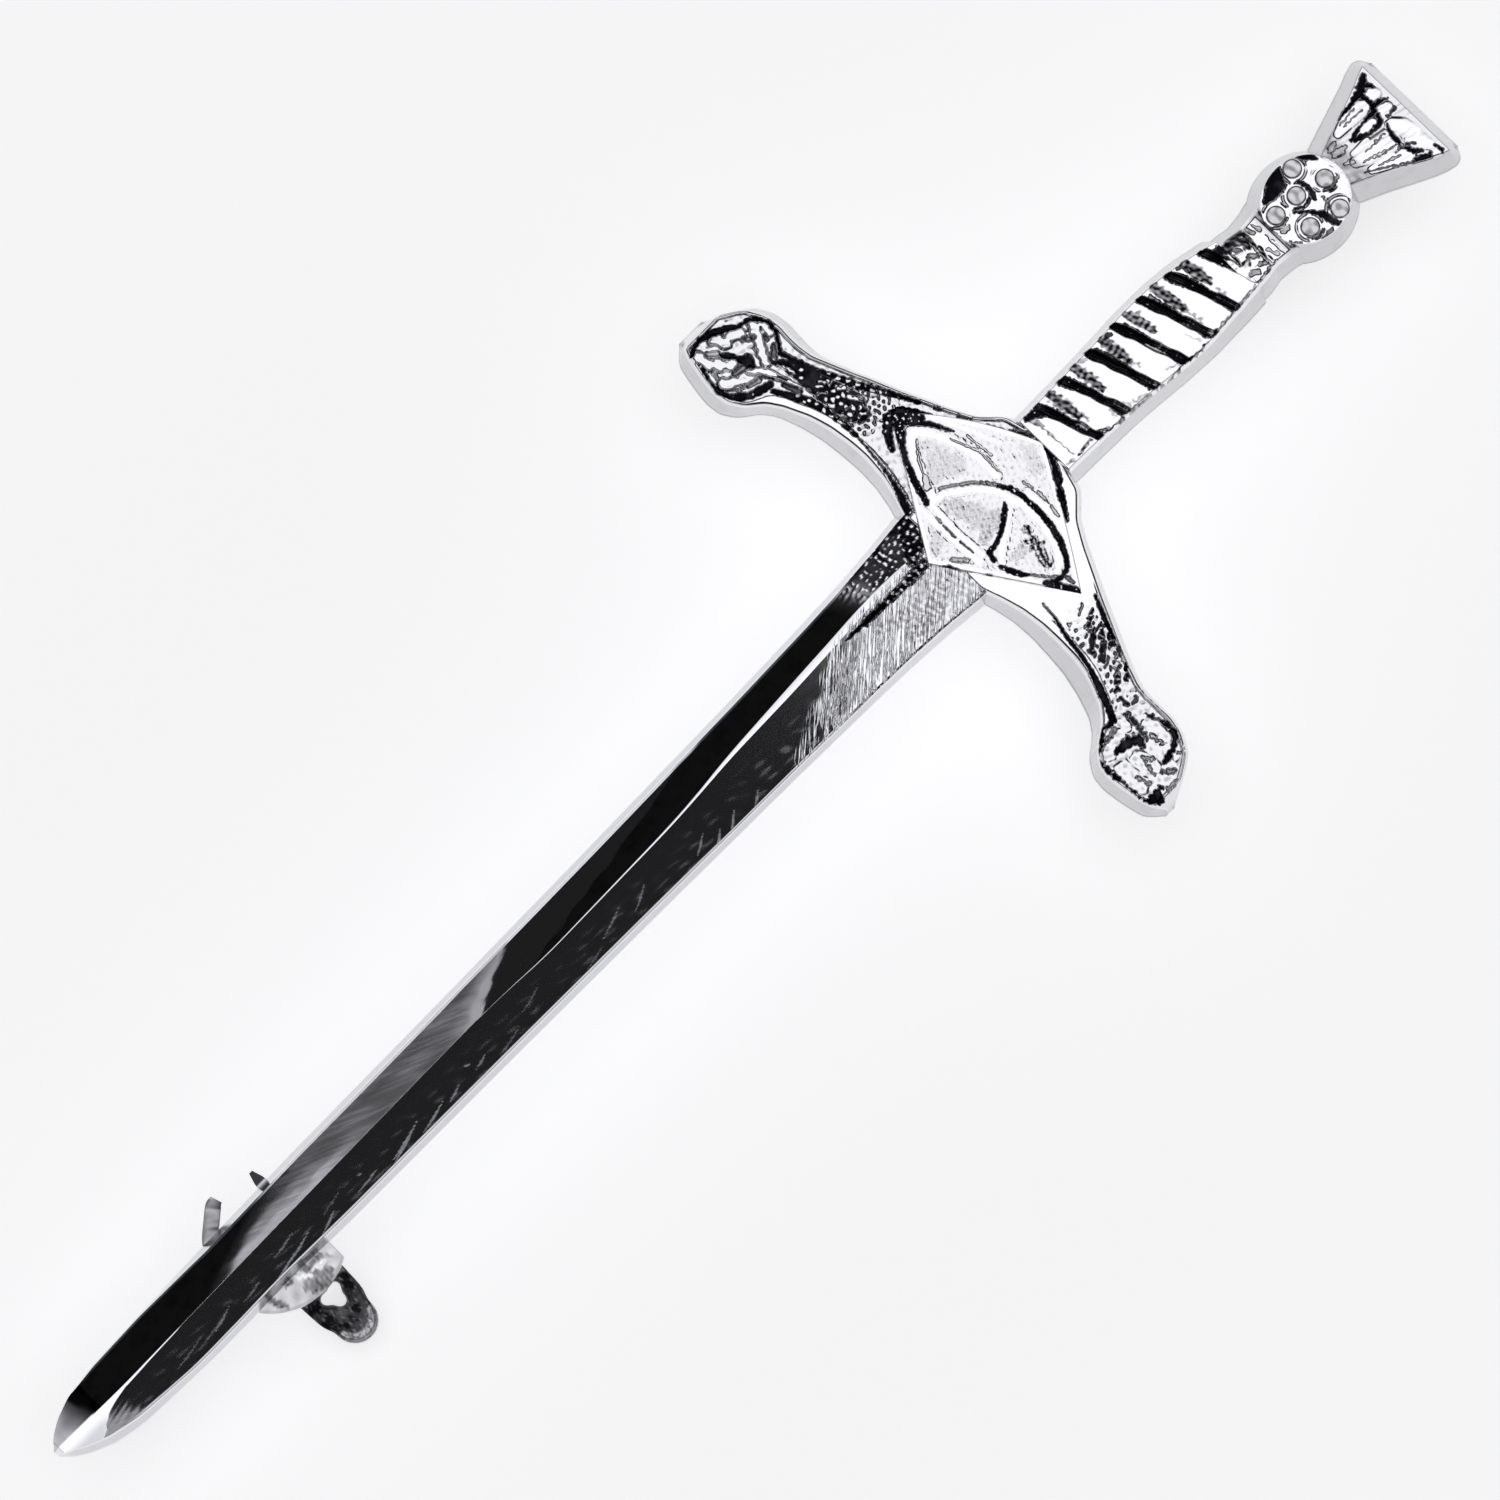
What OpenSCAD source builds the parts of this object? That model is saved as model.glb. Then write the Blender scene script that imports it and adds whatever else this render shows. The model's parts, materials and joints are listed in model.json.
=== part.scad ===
// A sword-shaped kilt pin: one polished casting with a ridged blade, a curved
// guard, a ribbed grip and a thistle pommel, and a hinged pin stem with a
// roll-over safety catch behind it. It lies on its back, the tip towards -X,
// the face up, and +Z = 0 is the surface that the hinge and the catch rest on.

/* [Blade] */
// Length of the blade, tip to guard
blade_len = 65; // [50:1:85]
// Width of the blade where it flares into the guard
blade_root_w = 6.6; // [5:0.1:8]
// Thickness of the blade at its ridge
ridge_h = 2.3; // [1.9:0.1:3.2]
// Thickness of the blade at its edges
edge_h = 1.3; // [0.8:0.1:1.7]
// How far the ridge has wandered off the middle at the guard
ridge_shift = 1.0; // [0:0.1:1.4]

/* [Guard] */
// Span of the guard over both knobs
guard_span = 35.6; // [28:0.2:44]
// Width of a guard arm at its narrowest
arm_w = 3.7; // [2.8:0.1:4.6]
// How far the arms sweep towards the tip
arm_sweep = 3.7; // [1:0.1:6]
// Height of the polished rim along the arms
rim_h = 2.1; // [1.6:0.1:2.5]
// Depth of the stippled field inside the rim
field_depth = 0.5; // [0.2:0.05:0.9]
// Height of the lobes on the knobs
knob_h = 2.9; // [2.5:0.1:3.6]
// How much wider one arm is cast than the other, at the knobs
arm_skew = 1.0; // [0:0.1:1.2]

/* [Panel] */
// Length of the panel in the middle of the guard, along the blade
panel_len = 8.8; // [7:0.1:11]
// Width of the panel, across the blade
panel_w = 13.3; // [11:0.1:16]
// Height of the panel's frame
panel_h = 2.6; // [2.3:0.1:3.4]
// Width of the panel's frame
frame_w = 0.55; // [0.4:0.05:0.7]
// Depth of the leaf-shaped cells
cell_depth = 0.4; // [0.2:0.05:0.8]
// Width of the ridges between the cells
cell_ridge_w = 0.45; // [0.3:0.05:0.7]

/* [Grip] */
// Length of the grip
grip_len = 13.6; // [11:0.1:18]
// Greatest width of the grip
grip_w = 5.4; // [4:0.1:6]
// Height of the grip at its crest
grip_h = 2.9; // [2.4:0.1:3.6]
// Number of slanting grooves
groove_count = 7; // [4:1:9]
// Depth of the grooves
groove_depth = 0.45; // [0.2:0.05:0.8]
// How far a groove leans along the grip from side to side
groove_lean = 1.9; // [0:0.1:2.4]
// Length of the collar between grip and thistle
collar_len = 2.6; // [2:0.1:3.5]

/* [Thistle] */
// Diameter of the thistle's bulb
bulb_d = 5.8; // [4.8:0.1:6.8]
// Height of the bulb's dome
bulb_h = 3.3; // [2.8:0.1:4]
// Radius of the beads on the bulb
bead_r = 0.65; // [0.45:0.05:0.75]
// Length of the crown past the bulb
crown_len = 5.1; // [4:0.1:7]
// Width of the crown at its end
crown_w = 7.8; // [6:0.1:9]
// Height of the crown's leaves
crown_h = 2.5; // [2:0.1:3.2]
// How far the thistle leans to one side
thistle_lean = 0.4; // [0:0.1:0.8]

/* [Walls] */
// How far a side wall leans in from back to face
wall_lean = 0.35; // [0.15:0.05:0.45]

/* [Pin stem] */
// Diameter of the stem
stem_d = 1.3; // [1:0.05:1.6]
// Room for cloth between the back of the blade and the stem
cloth_gap = 4.35; // [4.2:0.05:7]
// How far the point reaches past the middle of the catch
point_reach = 5; // [4:0.1:7]
// Radius of the stem's eye
eye_r = 1.2; // [1.1:0.05:1.4]

/* [Hinge] */
// Diameter of the rivet
rivet_d = 0.9; // [0.7:0.05:1.1]
// Thickness of each hinge ear
ear_t = 0.9; // [0.7:0.05:1.3]
// Thickness of the soldered hinge and catch plates
plate_t = 0.8; // [0.5:0.05:1.1]
// Diameter of the hinge plate
hinge_plate_d = 5.4; // [4.8:0.1:6.5]

/* [Catch] */
// Distance of the catch from the tip of the blade
catch_at = 15.6; // [12:0.1:22]
// Diameter of the round catch plate
catch_plate_d = 7.6; // [6:0.1:9]
// Width of the notch in the catch plate's edge
notch_w = 1.7; // [1:0.1:2]
// Length of the catch's barrel
barrel_len = 4; // [3.9:0.1:5]
// Wall of the turning barrel
roller_wall = 0.6; // [0.5:0.05:0.8]
// Wall of the fixed shell
shell_wall = 0.5; // [0.4:0.05:0.7]
// Reach of the lever from the stem
lever_reach = 7.0; // [5.5:0.1:9]
// Width of the lever at its root
lever_w = 3.1; // [2:0.1:3.4]
// Thickness of the lever
lever_t = 0.7; // [0.5:0.05:0.9]
// Diameter of the hole in the lever
lever_hole_d = 1.2; // [0.6:0.1:1.4]

/* [Clearances] */
// Running clearance of the rivet in the stem's eye
rivet_clear = 0.04; // [0.02:0.01:0.06]
// Gap all round the rivet in the ears
seat_clear = 0.02; // [0.01:0.01:0.04]
// Gap at each side of the stem's eye
side_clear = 0.06; // [0.04:0.01:0.1]
// Running clearance of the roller in its shell
roller_clear = 0.05; // [0.03:0.01:0.08]
// Gap round the stem in the roller
stem_clear = 0.08; // [0.05:0.01:0.12]

/* [Hidden] */
$fn = 64;
solder_sink = 0.15;
ridge_flat = 0.2;
groove_fade = 0.4;
bulb_lap = 0.85;
sword_len = blade_len + panel_len + grip_len + collar_len + bulb_d - bulb_lap + crown_len;
guard_at = blade_len + panel_len / 2;
grip_at = blade_len + panel_len;
collar_at = grip_at + grip_len;
bulb_at = collar_at + collar_len + bulb_d / 2 - bulb_lap / 2;
crown_at = bulb_at + bulb_d / 2 - bulb_lap / 2;
arm_half = guard_span / 2;
dome_r = (pow(bulb_d / 2, 2) + pow(bulb_h / 2, 2)) / bulb_h;
bulb_top_r = bulb_d / 2 - 1.6 * wall_lean;
bead_sink = 0.45 * bead_r;
crown_drift = 2 * thistle_lean;
crown_wall = 1.6 * wall_lean;
bump_z = 0.86 * crown_h;
tall_leaf = [0.43 * panel_w, 0.225 * panel_len];
cross_leaf = [0.5 * panel_len, 0.13 * panel_w];
frame_share = 2 * frame_w * norm([panel_len, panel_w]) / (panel_len * panel_w);

stem_r = stem_d / 2;
axis_z = -(cloth_gap + stem_r);
roller_bore_r = stem_r + stem_clear;
roller_r = roller_bore_r + roller_wall;
shell_bore_r = roller_r + roller_clear;
shell_r = shell_bore_r + shell_wall;
lip_y = roller_bore_r + side_clear;
lip_drop = sqrt(shell_r * shell_r - lip_y * lip_y);
post_top = 0.5 * plate_t;
post_foot = 0.6 * shell_r;
plate_bevel = 0.4 * plate_t;
notch_at = 0.13 * catch_plate_d / 2;
notch_in = 0.5 * catch_plate_d / 2;
ear_r = lip_drop;
flange_r = lip_drop - 2 * roller_clear;
flange_t = 0.4;
eye_w = stem_d + 0.1;
ear_in = eye_w / 2 + side_clear;
ear_out = ear_in + ear_t;
root_r = 0.9 * stem_r;
front_r = 0.85 * stem_r;
point_r = 0.07;
wire_gap = 0.6;
lock_gap = 1;
rivet_r = rivet_d / 2;
rivet_head_r = rivet_r + 0.35;
rivet_head_t = 0.35;
lever_end_r = 0.4 * lever_w;
lever_hole_at = 0.6 * lever_reach;
lie_h = lip_drop - axis_z;

// Columns of the tables of sections
at = 0;
wide = 1;
high = 2;
shift = 3;
dip = 4;
cleft = 3;
// Columns of the tables of single places
across = 1;
size = 2;
// Columns of the tables of a section's bends
side = 0;
level = 1;

// Blade: distance from the tip (of blade_len), width (of blade_root_w),
// height (of ridge_h and edge_h), shift of the ridge (of ridge_shift)
blade_rows = [
  [0.000, 0.06, 0.35, 0.10],
  [0.008, 0.23, 0.60, 0.10],
  [0.020, 0.37, 0.78, 0.12],
  [0.040, 0.51, 0.88, 0.15],
  [0.070, 0.58, 0.94, 0.18],
  [0.120, 0.62, 0.98, 0.20],
  [0.180, 0.66, 1.00, 0.22],
  [0.300, 0.71, 1.00, 0.28],
  [0.470, 0.73, 1.00, 0.32],
  [0.640, 0.765, 1.00, 0.35],
  [0.800, 0.81, 1.00, 0.75],
  [0.885, 0.85, 1.00, 1.00],
  [0.925, 0.88, 1.00, 1.00],
  [0.965, 0.93, 0.98, 0.90],
  [1.000, 1.00, 0.95, 0.70],
  [1.030, 1.00, 0.92, 0.60]];

// Guard: reach from the middle (of arm_half), width (of arm_w),
// height (of rim_h), sweep towards the tip (of arm_sweep), dip (of field_depth)
guard_rows = [
  [0.000, 2.40, 1.00, 0.00, 0.0],
  [0.150, 2.21, 1.00, 0.10, 0.0],
  [0.212, 1.81, 1.00, 0.20, 0.4],
  [0.281, 1.56, 1.00, 0.26, 1.0],
  [0.354, 1.38, 1.00, 0.33, 1.0],
  [0.424, 1.24, 1.00, 0.42, 1.0],
  [0.494, 1.13, 1.00, 0.51, 1.0],
  [0.566, 1.05, 1.00, 0.63, 1.0],
  [0.637, 1.03, 1.02, 0.76, 0.8],
  [0.680, 1.10, 1.04, 0.87, 0.4],
  [0.720, 1.35, 1.06, 1.01, 0.0],
  [0.765, 1.50, 1.10, 1.08, -0.3],
  [0.813, 1.54, 1.12, 1.09, -0.4],
  [0.865, 1.46, 1.11, 1.10, -0.4],
  [0.919, 1.26, 1.06, 1.15, -0.3],
  [0.955, 0.94, 0.98, 1.26, 0.0],
  [0.985, 0.50, 0.80, 1.34, 0.0],
  [1.000, 0.24, 0.60, 1.36, 0.0]];

// Bends of an arm's section: place (of its width), share of the field's depth
arm_bends = [[0.13, 0], [0.23, 0], [0.31, 1], [0.50, 1.1], [0.70, 1], [0.78, 0], [0.88, 0]];

// Lobes of a knob: place along the arm (of arm_half), place across
// (of arm_w, towards the tip), radius (of arm_w)
lobe_rows = [
  [0.765, 0.40, 0.24],
  [0.775, -0.32, 0.22],
  [0.840, 0.04, 0.24],
  [0.865, 0.44, 0.22],
  [0.870, -0.26, 0.20],
  [0.925, 0.16, 0.20]];

// Corners of the panel: place along (of half panel_len) and across (of half panel_w)
panel_corners = [[1, 0], [0.54, 0.5], [0, 1], [-0.54, 0.5], [-1, 0], [-0.54, -0.5], [0, -1], [0.54, -0.5]];

// Grip: distance (of grip_len), width (of grip_w)
grip_swell = [[0.00, 0.87], [0.20, 0.89], [0.34, 0.915], [0.53, 0.98], [0.69, 1.00],
              [0.84, 0.95], [0.92, 0.90], [1.00, 0.84], [1.04, 0.78]];
// Grip: distance (of grip_len), drift of its middle (of thistle_lean)
grip_drift = [[0.00, -0.30], [0.30, -0.25], [0.55, 0.00], [0.80, 0.35], [0.90, 0.65], [1.00, 0.95]];
// Grip: distance from one groove to the next, share of the groove's depth
groove_rows = [[0.28, 0.0], [0.42, 0.75], [0.54, 1.0], [0.66, 0.75], [0.84, 0.0]];
// Bends of the grip's and the collar's section: place (of half the width), height
round_bends = [[-0.90, 0.58], [-0.66, 0.84], [-0.25, 1.00], [0.25, 1.00], [0.66, 0.84], [0.90, 0.58]];

// Collar and neck: distance (of collar_len), width (of grip_w), height (of grip_h)
collar_rows = [
  [-0.06, 0.82, 0.88],
  [0.10, 0.82, 0.98],
  [0.40, 0.78, 1.00],
  [0.52, 0.72, 0.80],
  [0.62, 0.76, 0.96],
  [0.90, 0.78, 0.96],
  [1.20, 0.74, 0.80]];

// Beads of the bulb: place along and across (of half bulb_d)
bead_rows = [[0.30, 0.57], [0.00, 0.17], [-0.50, 0.20], [0.58, 0.09],
             [-0.22, -0.40], [0.36, -0.56], [-0.60, -0.32]];

// Crown: distance (of crown_len), width (of crown_w), height (of crown_h),
// depth of the clefts between the leaves (of crown_h)
crown_rows = [
  [-0.14, 0.50, 0.90, 0.06],
  [0.04, 0.56, 0.96, 0.10],
  [0.30, 0.70, 1.00, 0.22],
  [0.62, 0.90, 0.96, 0.26],
  [0.66, 0.92, 0.88, 0.04],
  [0.90, 1.00, 0.86, 0.02],
  [1.00, 0.92, 0.30, 0.00]];
leaf_count = 5;

// Bumps at the end of the crown: place along (of crown_len) and across
// (of half crown_w), radius (of crown_w)
bump_rows = [[0.80, 0.60, 0.045], [0.78, 0.22, 0.053], [0.80, -0.20, 0.061], [0.82, -0.62, 0.048]];

// Outline of the lever from the stem outwards: distance (of lever_reach), width (of lever_w)
lever_rows = [[0.17, 1.00], [0.48, 1.00], [0.66, 0.96], [0.78, 0.86]];

function mix(a, b, t) = a + (b - a) * t;
// Rows of one arm from its knob to the middle, then those of the other arm
function both_arms(rows) = concat(
  [for (i = [len(rows) - 1:-1:0]) rows[i]],
  [for (i = [1:len(rows) - 1]) [for (c = [0:len(rows[i]) - 1]) c == at ? -rows[i][at] : rows[i][c]]]);

// Faces between rings of n points, and over both ends
function loft_faces(rings, n) = concat(
  [for (i = [0:rings - 2], j = [0:n - 1]) [i * n + j, i * n + (j + 1) % n, (i + 1) * n + (j + 1) % n]],
  [for (i = [0:rings - 2], j = [0:n - 1]) [i * n + j, (i + 1) * n + (j + 1) % n, (i + 1) * n + j]],
  [[for (j = [n - 1:-1:0]) j]],
  [[for (j = [0:n - 1]) (rings - 1) * n + j]]);

module loft(rings) {
  polyhedron([for (ring = rings) each ring], loft_faces(len(rings), len(rings[0])), convexity = 6);
}

// Everything is drawn with the tip at x = 0 and the back of the blade at z = 0
module laid() {
  translate([-sword_len / 2, 0, lie_h]) children();
}

// Round bars with their middle at the origin
module bar_x(len, r) {
  rotate([0, 90, 0]) cylinder(h = len, r = r, center = true);
}

module bar_y(len, r) {
  rotate([90, 0, 0]) cylinder(h = len, r = r, center = true);
}

function blade_ring(row) =
  let (x = row[at] * blade_len, half = row[wide] * blade_root_w / 2, lean = min(wall_lean, half / 3),
       ridge = row[shift] * ridge_shift, flat = min(ridge_flat, half / 6))
  [[x, -half, 0], [x, lean - half, edge_h * row[high]],
   [x, ridge - flat, ridge_h * row[high]], [x, ridge + flat, ridge_h * row[high]],
   [x, half - lean, edge_h * row[high]], [x, half, 0]];

module blade() {
  loft([for (row = blade_rows) blade_ring(row)]);
}

function guard_ring(row) =
  let (y = row[at] * arm_half, edge = guard_at - row[shift] * arm_sweep - row[wide] * arm_w / 2,
       w = row[wide] * arm_w + row[at] * arm_skew / 2)
  concat([[edge, y, 0]],
         [for (b = arm_bends)
           [edge + b[side] * w, y, rim_h * row[high] - b[level] * row[dip] * field_depth]],
         [[edge + w, y, 0]]);

module guard_arms() {
  loft([for (row = both_arms(guard_rows)) guard_ring(row)]);
}

module knob_lobes() {
  for (hand = [-1, 1], lobe = lobe_rows) {
    lobe_r = lobe[size] * arm_w;
    lobe_x = guard_at - arm_sweep - lobe[across] * arm_w + hand * lobe[at] * arm_skew / 4;
    translate([lobe_x, hand * lobe[at] * arm_half, knob_h - lobe_r]) sphere(lobe_r);
  }
}

// A pointed leaf between two arcs, its half length along X
module leaf(half_len, half_w) {
  arc_r = (half_len * half_len + half_w * half_w) / (2 * half_w);
  intersection_for (hand = [-1, 1])
    translate([0, hand * (arc_r - half_w)]) circle(arc_r);
}

// The ridge round a leaf-shaped cell
module leaf_ridge(leaf_half) {
  difference() {
    leaf(leaf_half[0], leaf_half[1]);
    leaf(leaf_half[0] - 2 * cell_ridge_w, leaf_half[1] - cell_ridge_w);
  }
}

module panel_outline(share) {
  polygon([for (corner = panel_corners)
    [corner[at] * share * panel_len / 2, corner[across] * share * panel_w / 2]]);
}

// The panel: a bowed diamond, its cells cut round two crossed leaves
module panel() {
  translate([guard_at, 0, 0]) difference() {
    linear_extrude(panel_h) panel_outline(1);
    translate([0, 0, panel_h - cell_depth]) linear_extrude(panel_h) difference() {
      panel_outline(1 - frame_share);
      leaf_ridge(cross_leaf);
      rotate(90) leaf_ridge(tall_leaf);
    }
  }
}

// A section with a round back, that slants along x from one side to the other
function round_ring(x, middle, half, top, slant, drop) = concat(
  [[x + slant, middle - half, 0]],
  [for (b = round_bends) [x - slant * b[side], middle + b[side] * half, b[level] * top - drop]],
  [[x - slant, middle + half, 0]]);

function grip_ring(t, cut, slanting) =
  let (swell = lookup(t, grip_swell), slant = slanting * (1 - groove_fade * t) * swell * groove_lean / 2)
  round_ring(grip_at + t * grip_len, -thistle_lean * lookup(t, grip_drift), swell * grip_w / 2, grip_h,
             slant, cut * groove_depth);

module grip() {
  loft([grip_ring(-0.12, 1.2, 0),
        grip_ring(0, 0.7, 1),
        for (i = [0:groove_count - 1], row = groove_rows)
          grip_ring((i + row[at]) / groove_count, row[level], 1),
        grip_ring(1.04, 1, 0)]);
}

module collar() {
  loft([for (row = collar_rows)
    round_ring(collar_at + row[at] * collar_len, -thistle_lean, row[wide] * grip_w / 2,
               row[high] * grip_h, 0, 0)]);
}

// The bulb: a leaning wall under a shallow dome, with beads on it
module bulb() {
  intersection() {
    cylinder(h = bulb_h, r1 = bulb_d / 2, r2 = bulb_top_r);
    translate([0, 0, bulb_h - dome_r]) sphere(dome_r, $fn = 96);
  }
  for (bead = bead_rows) {
    out = norm(bead) * bulb_d / 2;
    skin = bulb_h - dome_r + sqrt(dome_r * dome_r - out * out);
    translate([bead[at] * bulb_d / 2, bead[across] * bulb_d / 2, skin - bead_sink]) sphere(bead_r);
  }
}

// The crown: leaves side by side, with a cleft between each two
function crown_ring(row) =
  let (x = row[at] * crown_len, half = row[wide] * crown_w / 2, top = row[high] * crown_h,
       deep = row[cleft] * crown_h, steps = 2 * leaf_count)
  concat([[x, -half, 0]],
         [for (k = [0:steps])
           [x, mix(crown_wall - half, half - crown_wall, k / steps), top - (k % 2 == 0 ? deep : 0)]],
         [[x, half, 0]]);

module crown() {
  loft([for (row = crown_rows) crown_ring(row)]);
  for (bump = bump_rows)
    translate([bump[at] * crown_len, bump[across] * crown_w / 2, bump_z]) sphere(bump[size] * crown_w);
}

module thistle() {
  translate([bulb_at, -thistle_lean, 0]) bulb();
  translate([crown_at, -crown_drift, 0]) crown();
}

// One ear of the hinge, standing down from the plate
module hinge_ear() {
  rotate([-90, 0, 0]) linear_extrude(ear_t, center = true) difference() {
    union() {
      circle(ear_r);
      translate([-ear_r, axis_z]) square([2 * ear_r, -axis_z]);
    }
    circle(rivet_r + seat_clear);
  }
}

module hinge() {
  translate([guard_at, 0, 0]) {
    translate([0, 0, -plate_t]) cylinder(h = plate_t + solder_sink, d = hinge_plate_d);
    for (hand = [-1, 1]) translate([0, hand * (ear_in + ear_t / 2), axis_z]) hinge_ear();
  }
}

// The fixed part of the catch: a round notched plate, a short post and an open shell
module catch_base() {
  plate_r = catch_plate_d / 2;
  mouth_z = axis_z + lever_t / 2 + side_clear;
  translate([catch_at, 0, 0]) {
    difference() {
      rotate_extrude() polygon([
        [0, -plate_t], [plate_r - plate_bevel, -plate_t], [plate_r, plate_bevel - plate_t],
        [plate_r, 0], [plate_r - plate_bevel, solder_sink], [0, solder_sink]]);
      translate([notch_at - notch_w / 2, notch_in, -2 * plate_t]) cube([notch_w, plate_r, 4 * plate_t]);
    }
    difference() {
      union() {
        translate([-barrel_len / 2, -shell_r / 2, axis_z + post_foot])
          cube([barrel_len, shell_r, -axis_z - post_foot - post_top]);
        translate([0, 0, axis_z]) bar_x(barrel_len, shell_r);
      }
      translate([0, 0, axis_z]) bar_x(2 * barrel_len, shell_bore_r);
      translate([-barrel_len, lip_y - 2 * shell_r, mouth_z - 3 * shell_r])
        cube([2 * barrel_len, 2 * shell_r, 3 * shell_r]);
    }
  }
}

module sword() {
  color("silver") laid() union() {
    blade();
    guard_arms();
    knob_lobes();
    panel();
    grip();
    collar();
    thistle();
    hinge();
    catch_base();
  }
}

// The stem: a flat eye on a tapered root, a straight wire and a long point
module pin_stem() {
  wire_from = guard_at - ear_r - wire_gap;
  wire_to = catch_at + barrel_len / 2 + flange_t + lock_gap;
  point_from = catch_at - barrel_len / 2 - flange_t - wire_gap;
  point_at = catch_at - point_reach;
  color("gainsboro") laid() translate([0, 0, axis_z]) difference() {
    union() {
      translate([guard_at, 0, 0]) bar_y(eye_w, eye_r);
      rotate([0, 90, 0]) rotate_extrude() polygon([
        [0, point_at], [point_r, point_at], [front_r, point_from], [stem_r, wire_to],
        [stem_r, wire_from], [root_r, guard_at], [0, guard_at]]);
    }
    translate([guard_at, 0, 0]) bar_y(2 * eye_w, rivet_r + rivet_clear);
  }
}

module hinge_rivet() {
  head_from = ear_out + seat_clear;
  color("darkgray") laid() translate([guard_at, 0, axis_z]) {
    bar_y(2 * head_from, rivet_r);
    for (hand = [-1, 1])
      translate([0, hand * (head_from + rivet_head_t / 2), 0]) bar_y(rivet_head_t, rivet_head_r);
  }
}

// The lever: its two edges from the stem to where the round end starts, with a hole
module lever_plate() {
  last = len(lever_rows) - 1;
  linear_extrude(lever_t, center = true) difference() {
    union() {
      polygon(concat(
        [for (i = [0:last]) [lever_rows[i][wide] * lever_w / 2, -lever_rows[i][at] * lever_reach]],
        [for (hand = [1, -1]) [hand * lever_end_r, lever_end_r - lever_reach]],
        [for (i = [last:-1:0]) [-lever_rows[i][wide] * lever_w / 2, -lever_rows[i][at] * lever_reach]]));
      translate([0, lever_end_r - lever_reach]) circle(lever_end_r);
    }
    translate([0, -lever_hole_at]) circle(d = lever_hole_d);
  }
}

// The turning part of the catch: a slotted barrel with a flange at each end and a lever
module catch_roller() {
  color("lightgray") laid() translate([catch_at, 0, axis_z]) difference() {
    union() {
      bar_x(barrel_len + 2 * flange_t, roller_r);
      for (hand = [-1, 1])
        translate([hand * (barrel_len / 2 + roller_clear + flange_t / 2), 0, 0]) bar_x(flange_t, flange_r);
      lever_plate();
    }
    bar_x(2 * barrel_len, roller_bore_r);
    translate([-barrel_len, -roller_bore_r, -2 * shell_r])
      cube([2 * barrel_len, 2 * roller_bore_r, 2 * shell_r]);
  }
}

sword();
pin_stem();
hinge_rivet();
catch_roller();
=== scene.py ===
import json
import math

import bpy
import numpy as np
from mathutils import Matrix, Vector


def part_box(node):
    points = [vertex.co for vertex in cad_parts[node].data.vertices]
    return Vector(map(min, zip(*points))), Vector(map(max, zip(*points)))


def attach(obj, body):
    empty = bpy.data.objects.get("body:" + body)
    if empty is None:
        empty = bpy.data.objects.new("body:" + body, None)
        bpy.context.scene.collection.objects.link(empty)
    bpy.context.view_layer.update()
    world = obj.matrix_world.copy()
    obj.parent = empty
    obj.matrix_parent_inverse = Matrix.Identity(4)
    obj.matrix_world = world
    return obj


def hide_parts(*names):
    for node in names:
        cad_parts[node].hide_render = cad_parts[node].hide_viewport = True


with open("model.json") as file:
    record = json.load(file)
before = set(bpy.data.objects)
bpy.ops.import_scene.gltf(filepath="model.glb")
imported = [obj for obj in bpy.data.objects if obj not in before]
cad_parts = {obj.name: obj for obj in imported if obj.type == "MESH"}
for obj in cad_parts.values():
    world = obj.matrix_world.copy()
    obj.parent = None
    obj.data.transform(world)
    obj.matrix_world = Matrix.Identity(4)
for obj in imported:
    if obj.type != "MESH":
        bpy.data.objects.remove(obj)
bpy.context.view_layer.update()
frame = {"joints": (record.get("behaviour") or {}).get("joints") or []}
print("frame loaded")

# Sizes are in millimetres. A casting's own coordinates run from the blade's tip (x), across
# the blade (y) and up from the blade's flat back (z).
mm = 0.001
joints = {j["name"]: j for j in frame["joints"]}
stem = {"radius": 0.65, "clothGap": 4.35}
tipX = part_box("sword")[0].x / mm
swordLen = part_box("sword")[1].x / mm - tipX
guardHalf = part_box("sword")[1].y / mm
stemHeight = joints["pin_swing"]["pos_m"][2] / mm
backHeight = stemHeight + stem["radius"] + stem["clothGap"]
hingeAt = joints["pin_swing"]["pos_m"][0] / mm - tipX
catchAt = joints["lever_turn"]["pos_m"][0] / mm - tipX

# What the pieces carry for their finish: grime in the hollows along with painted shade and painted dark
# reflections, satin wear, and filed patches
markNames = ("grimeAndShade", "worn", "filed")
walls = {
    "steps": 8, "backSteps": 6,
    "shade": 0.3,                # painted shade on the side walls: how dark they are against the light floor
    "rim": (0.08, 0.25),         # how far down the bright upper rim, free of the painted shade, fades into it
    "noRim": (0.0, 0.03),        # the same where the wall has no bright rim
}


# Camera, floor and light

camera = {
    "height": 400.0,       # above the surface that the pin lies on
    "lean": 6.5,           # degrees off straight down, towards the foot of the picture
    "turn": 44.48,         # degrees from the blade's line to the picture's upright
    "aim": (1.10, 0.12),
    "lens": 185.3,
    "sensor": 36.0,
    "clipStart": 0.01,     # metres
}
backdrop = {
    "reach": 2.5,          # metres
    "tone": (0.86, 0.86, 0.87),
    "glow": 0.6,
    "roughness": 0.9, "specular": 0.1,
}
studio = {
    "overhead": 1.25,      # the wide soft light straight above
    "overheadEdge": (24.0, 33.0),   # degrees from straight up, where it fades out
    "dark": 0.014,         # the dark room between it and the horizon
    "horizonEdge": (66.0, 80.0),
    "horizon": 0.75,
    "coolness": 1.02,      # how much stronger blue is than red and green
}


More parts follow.
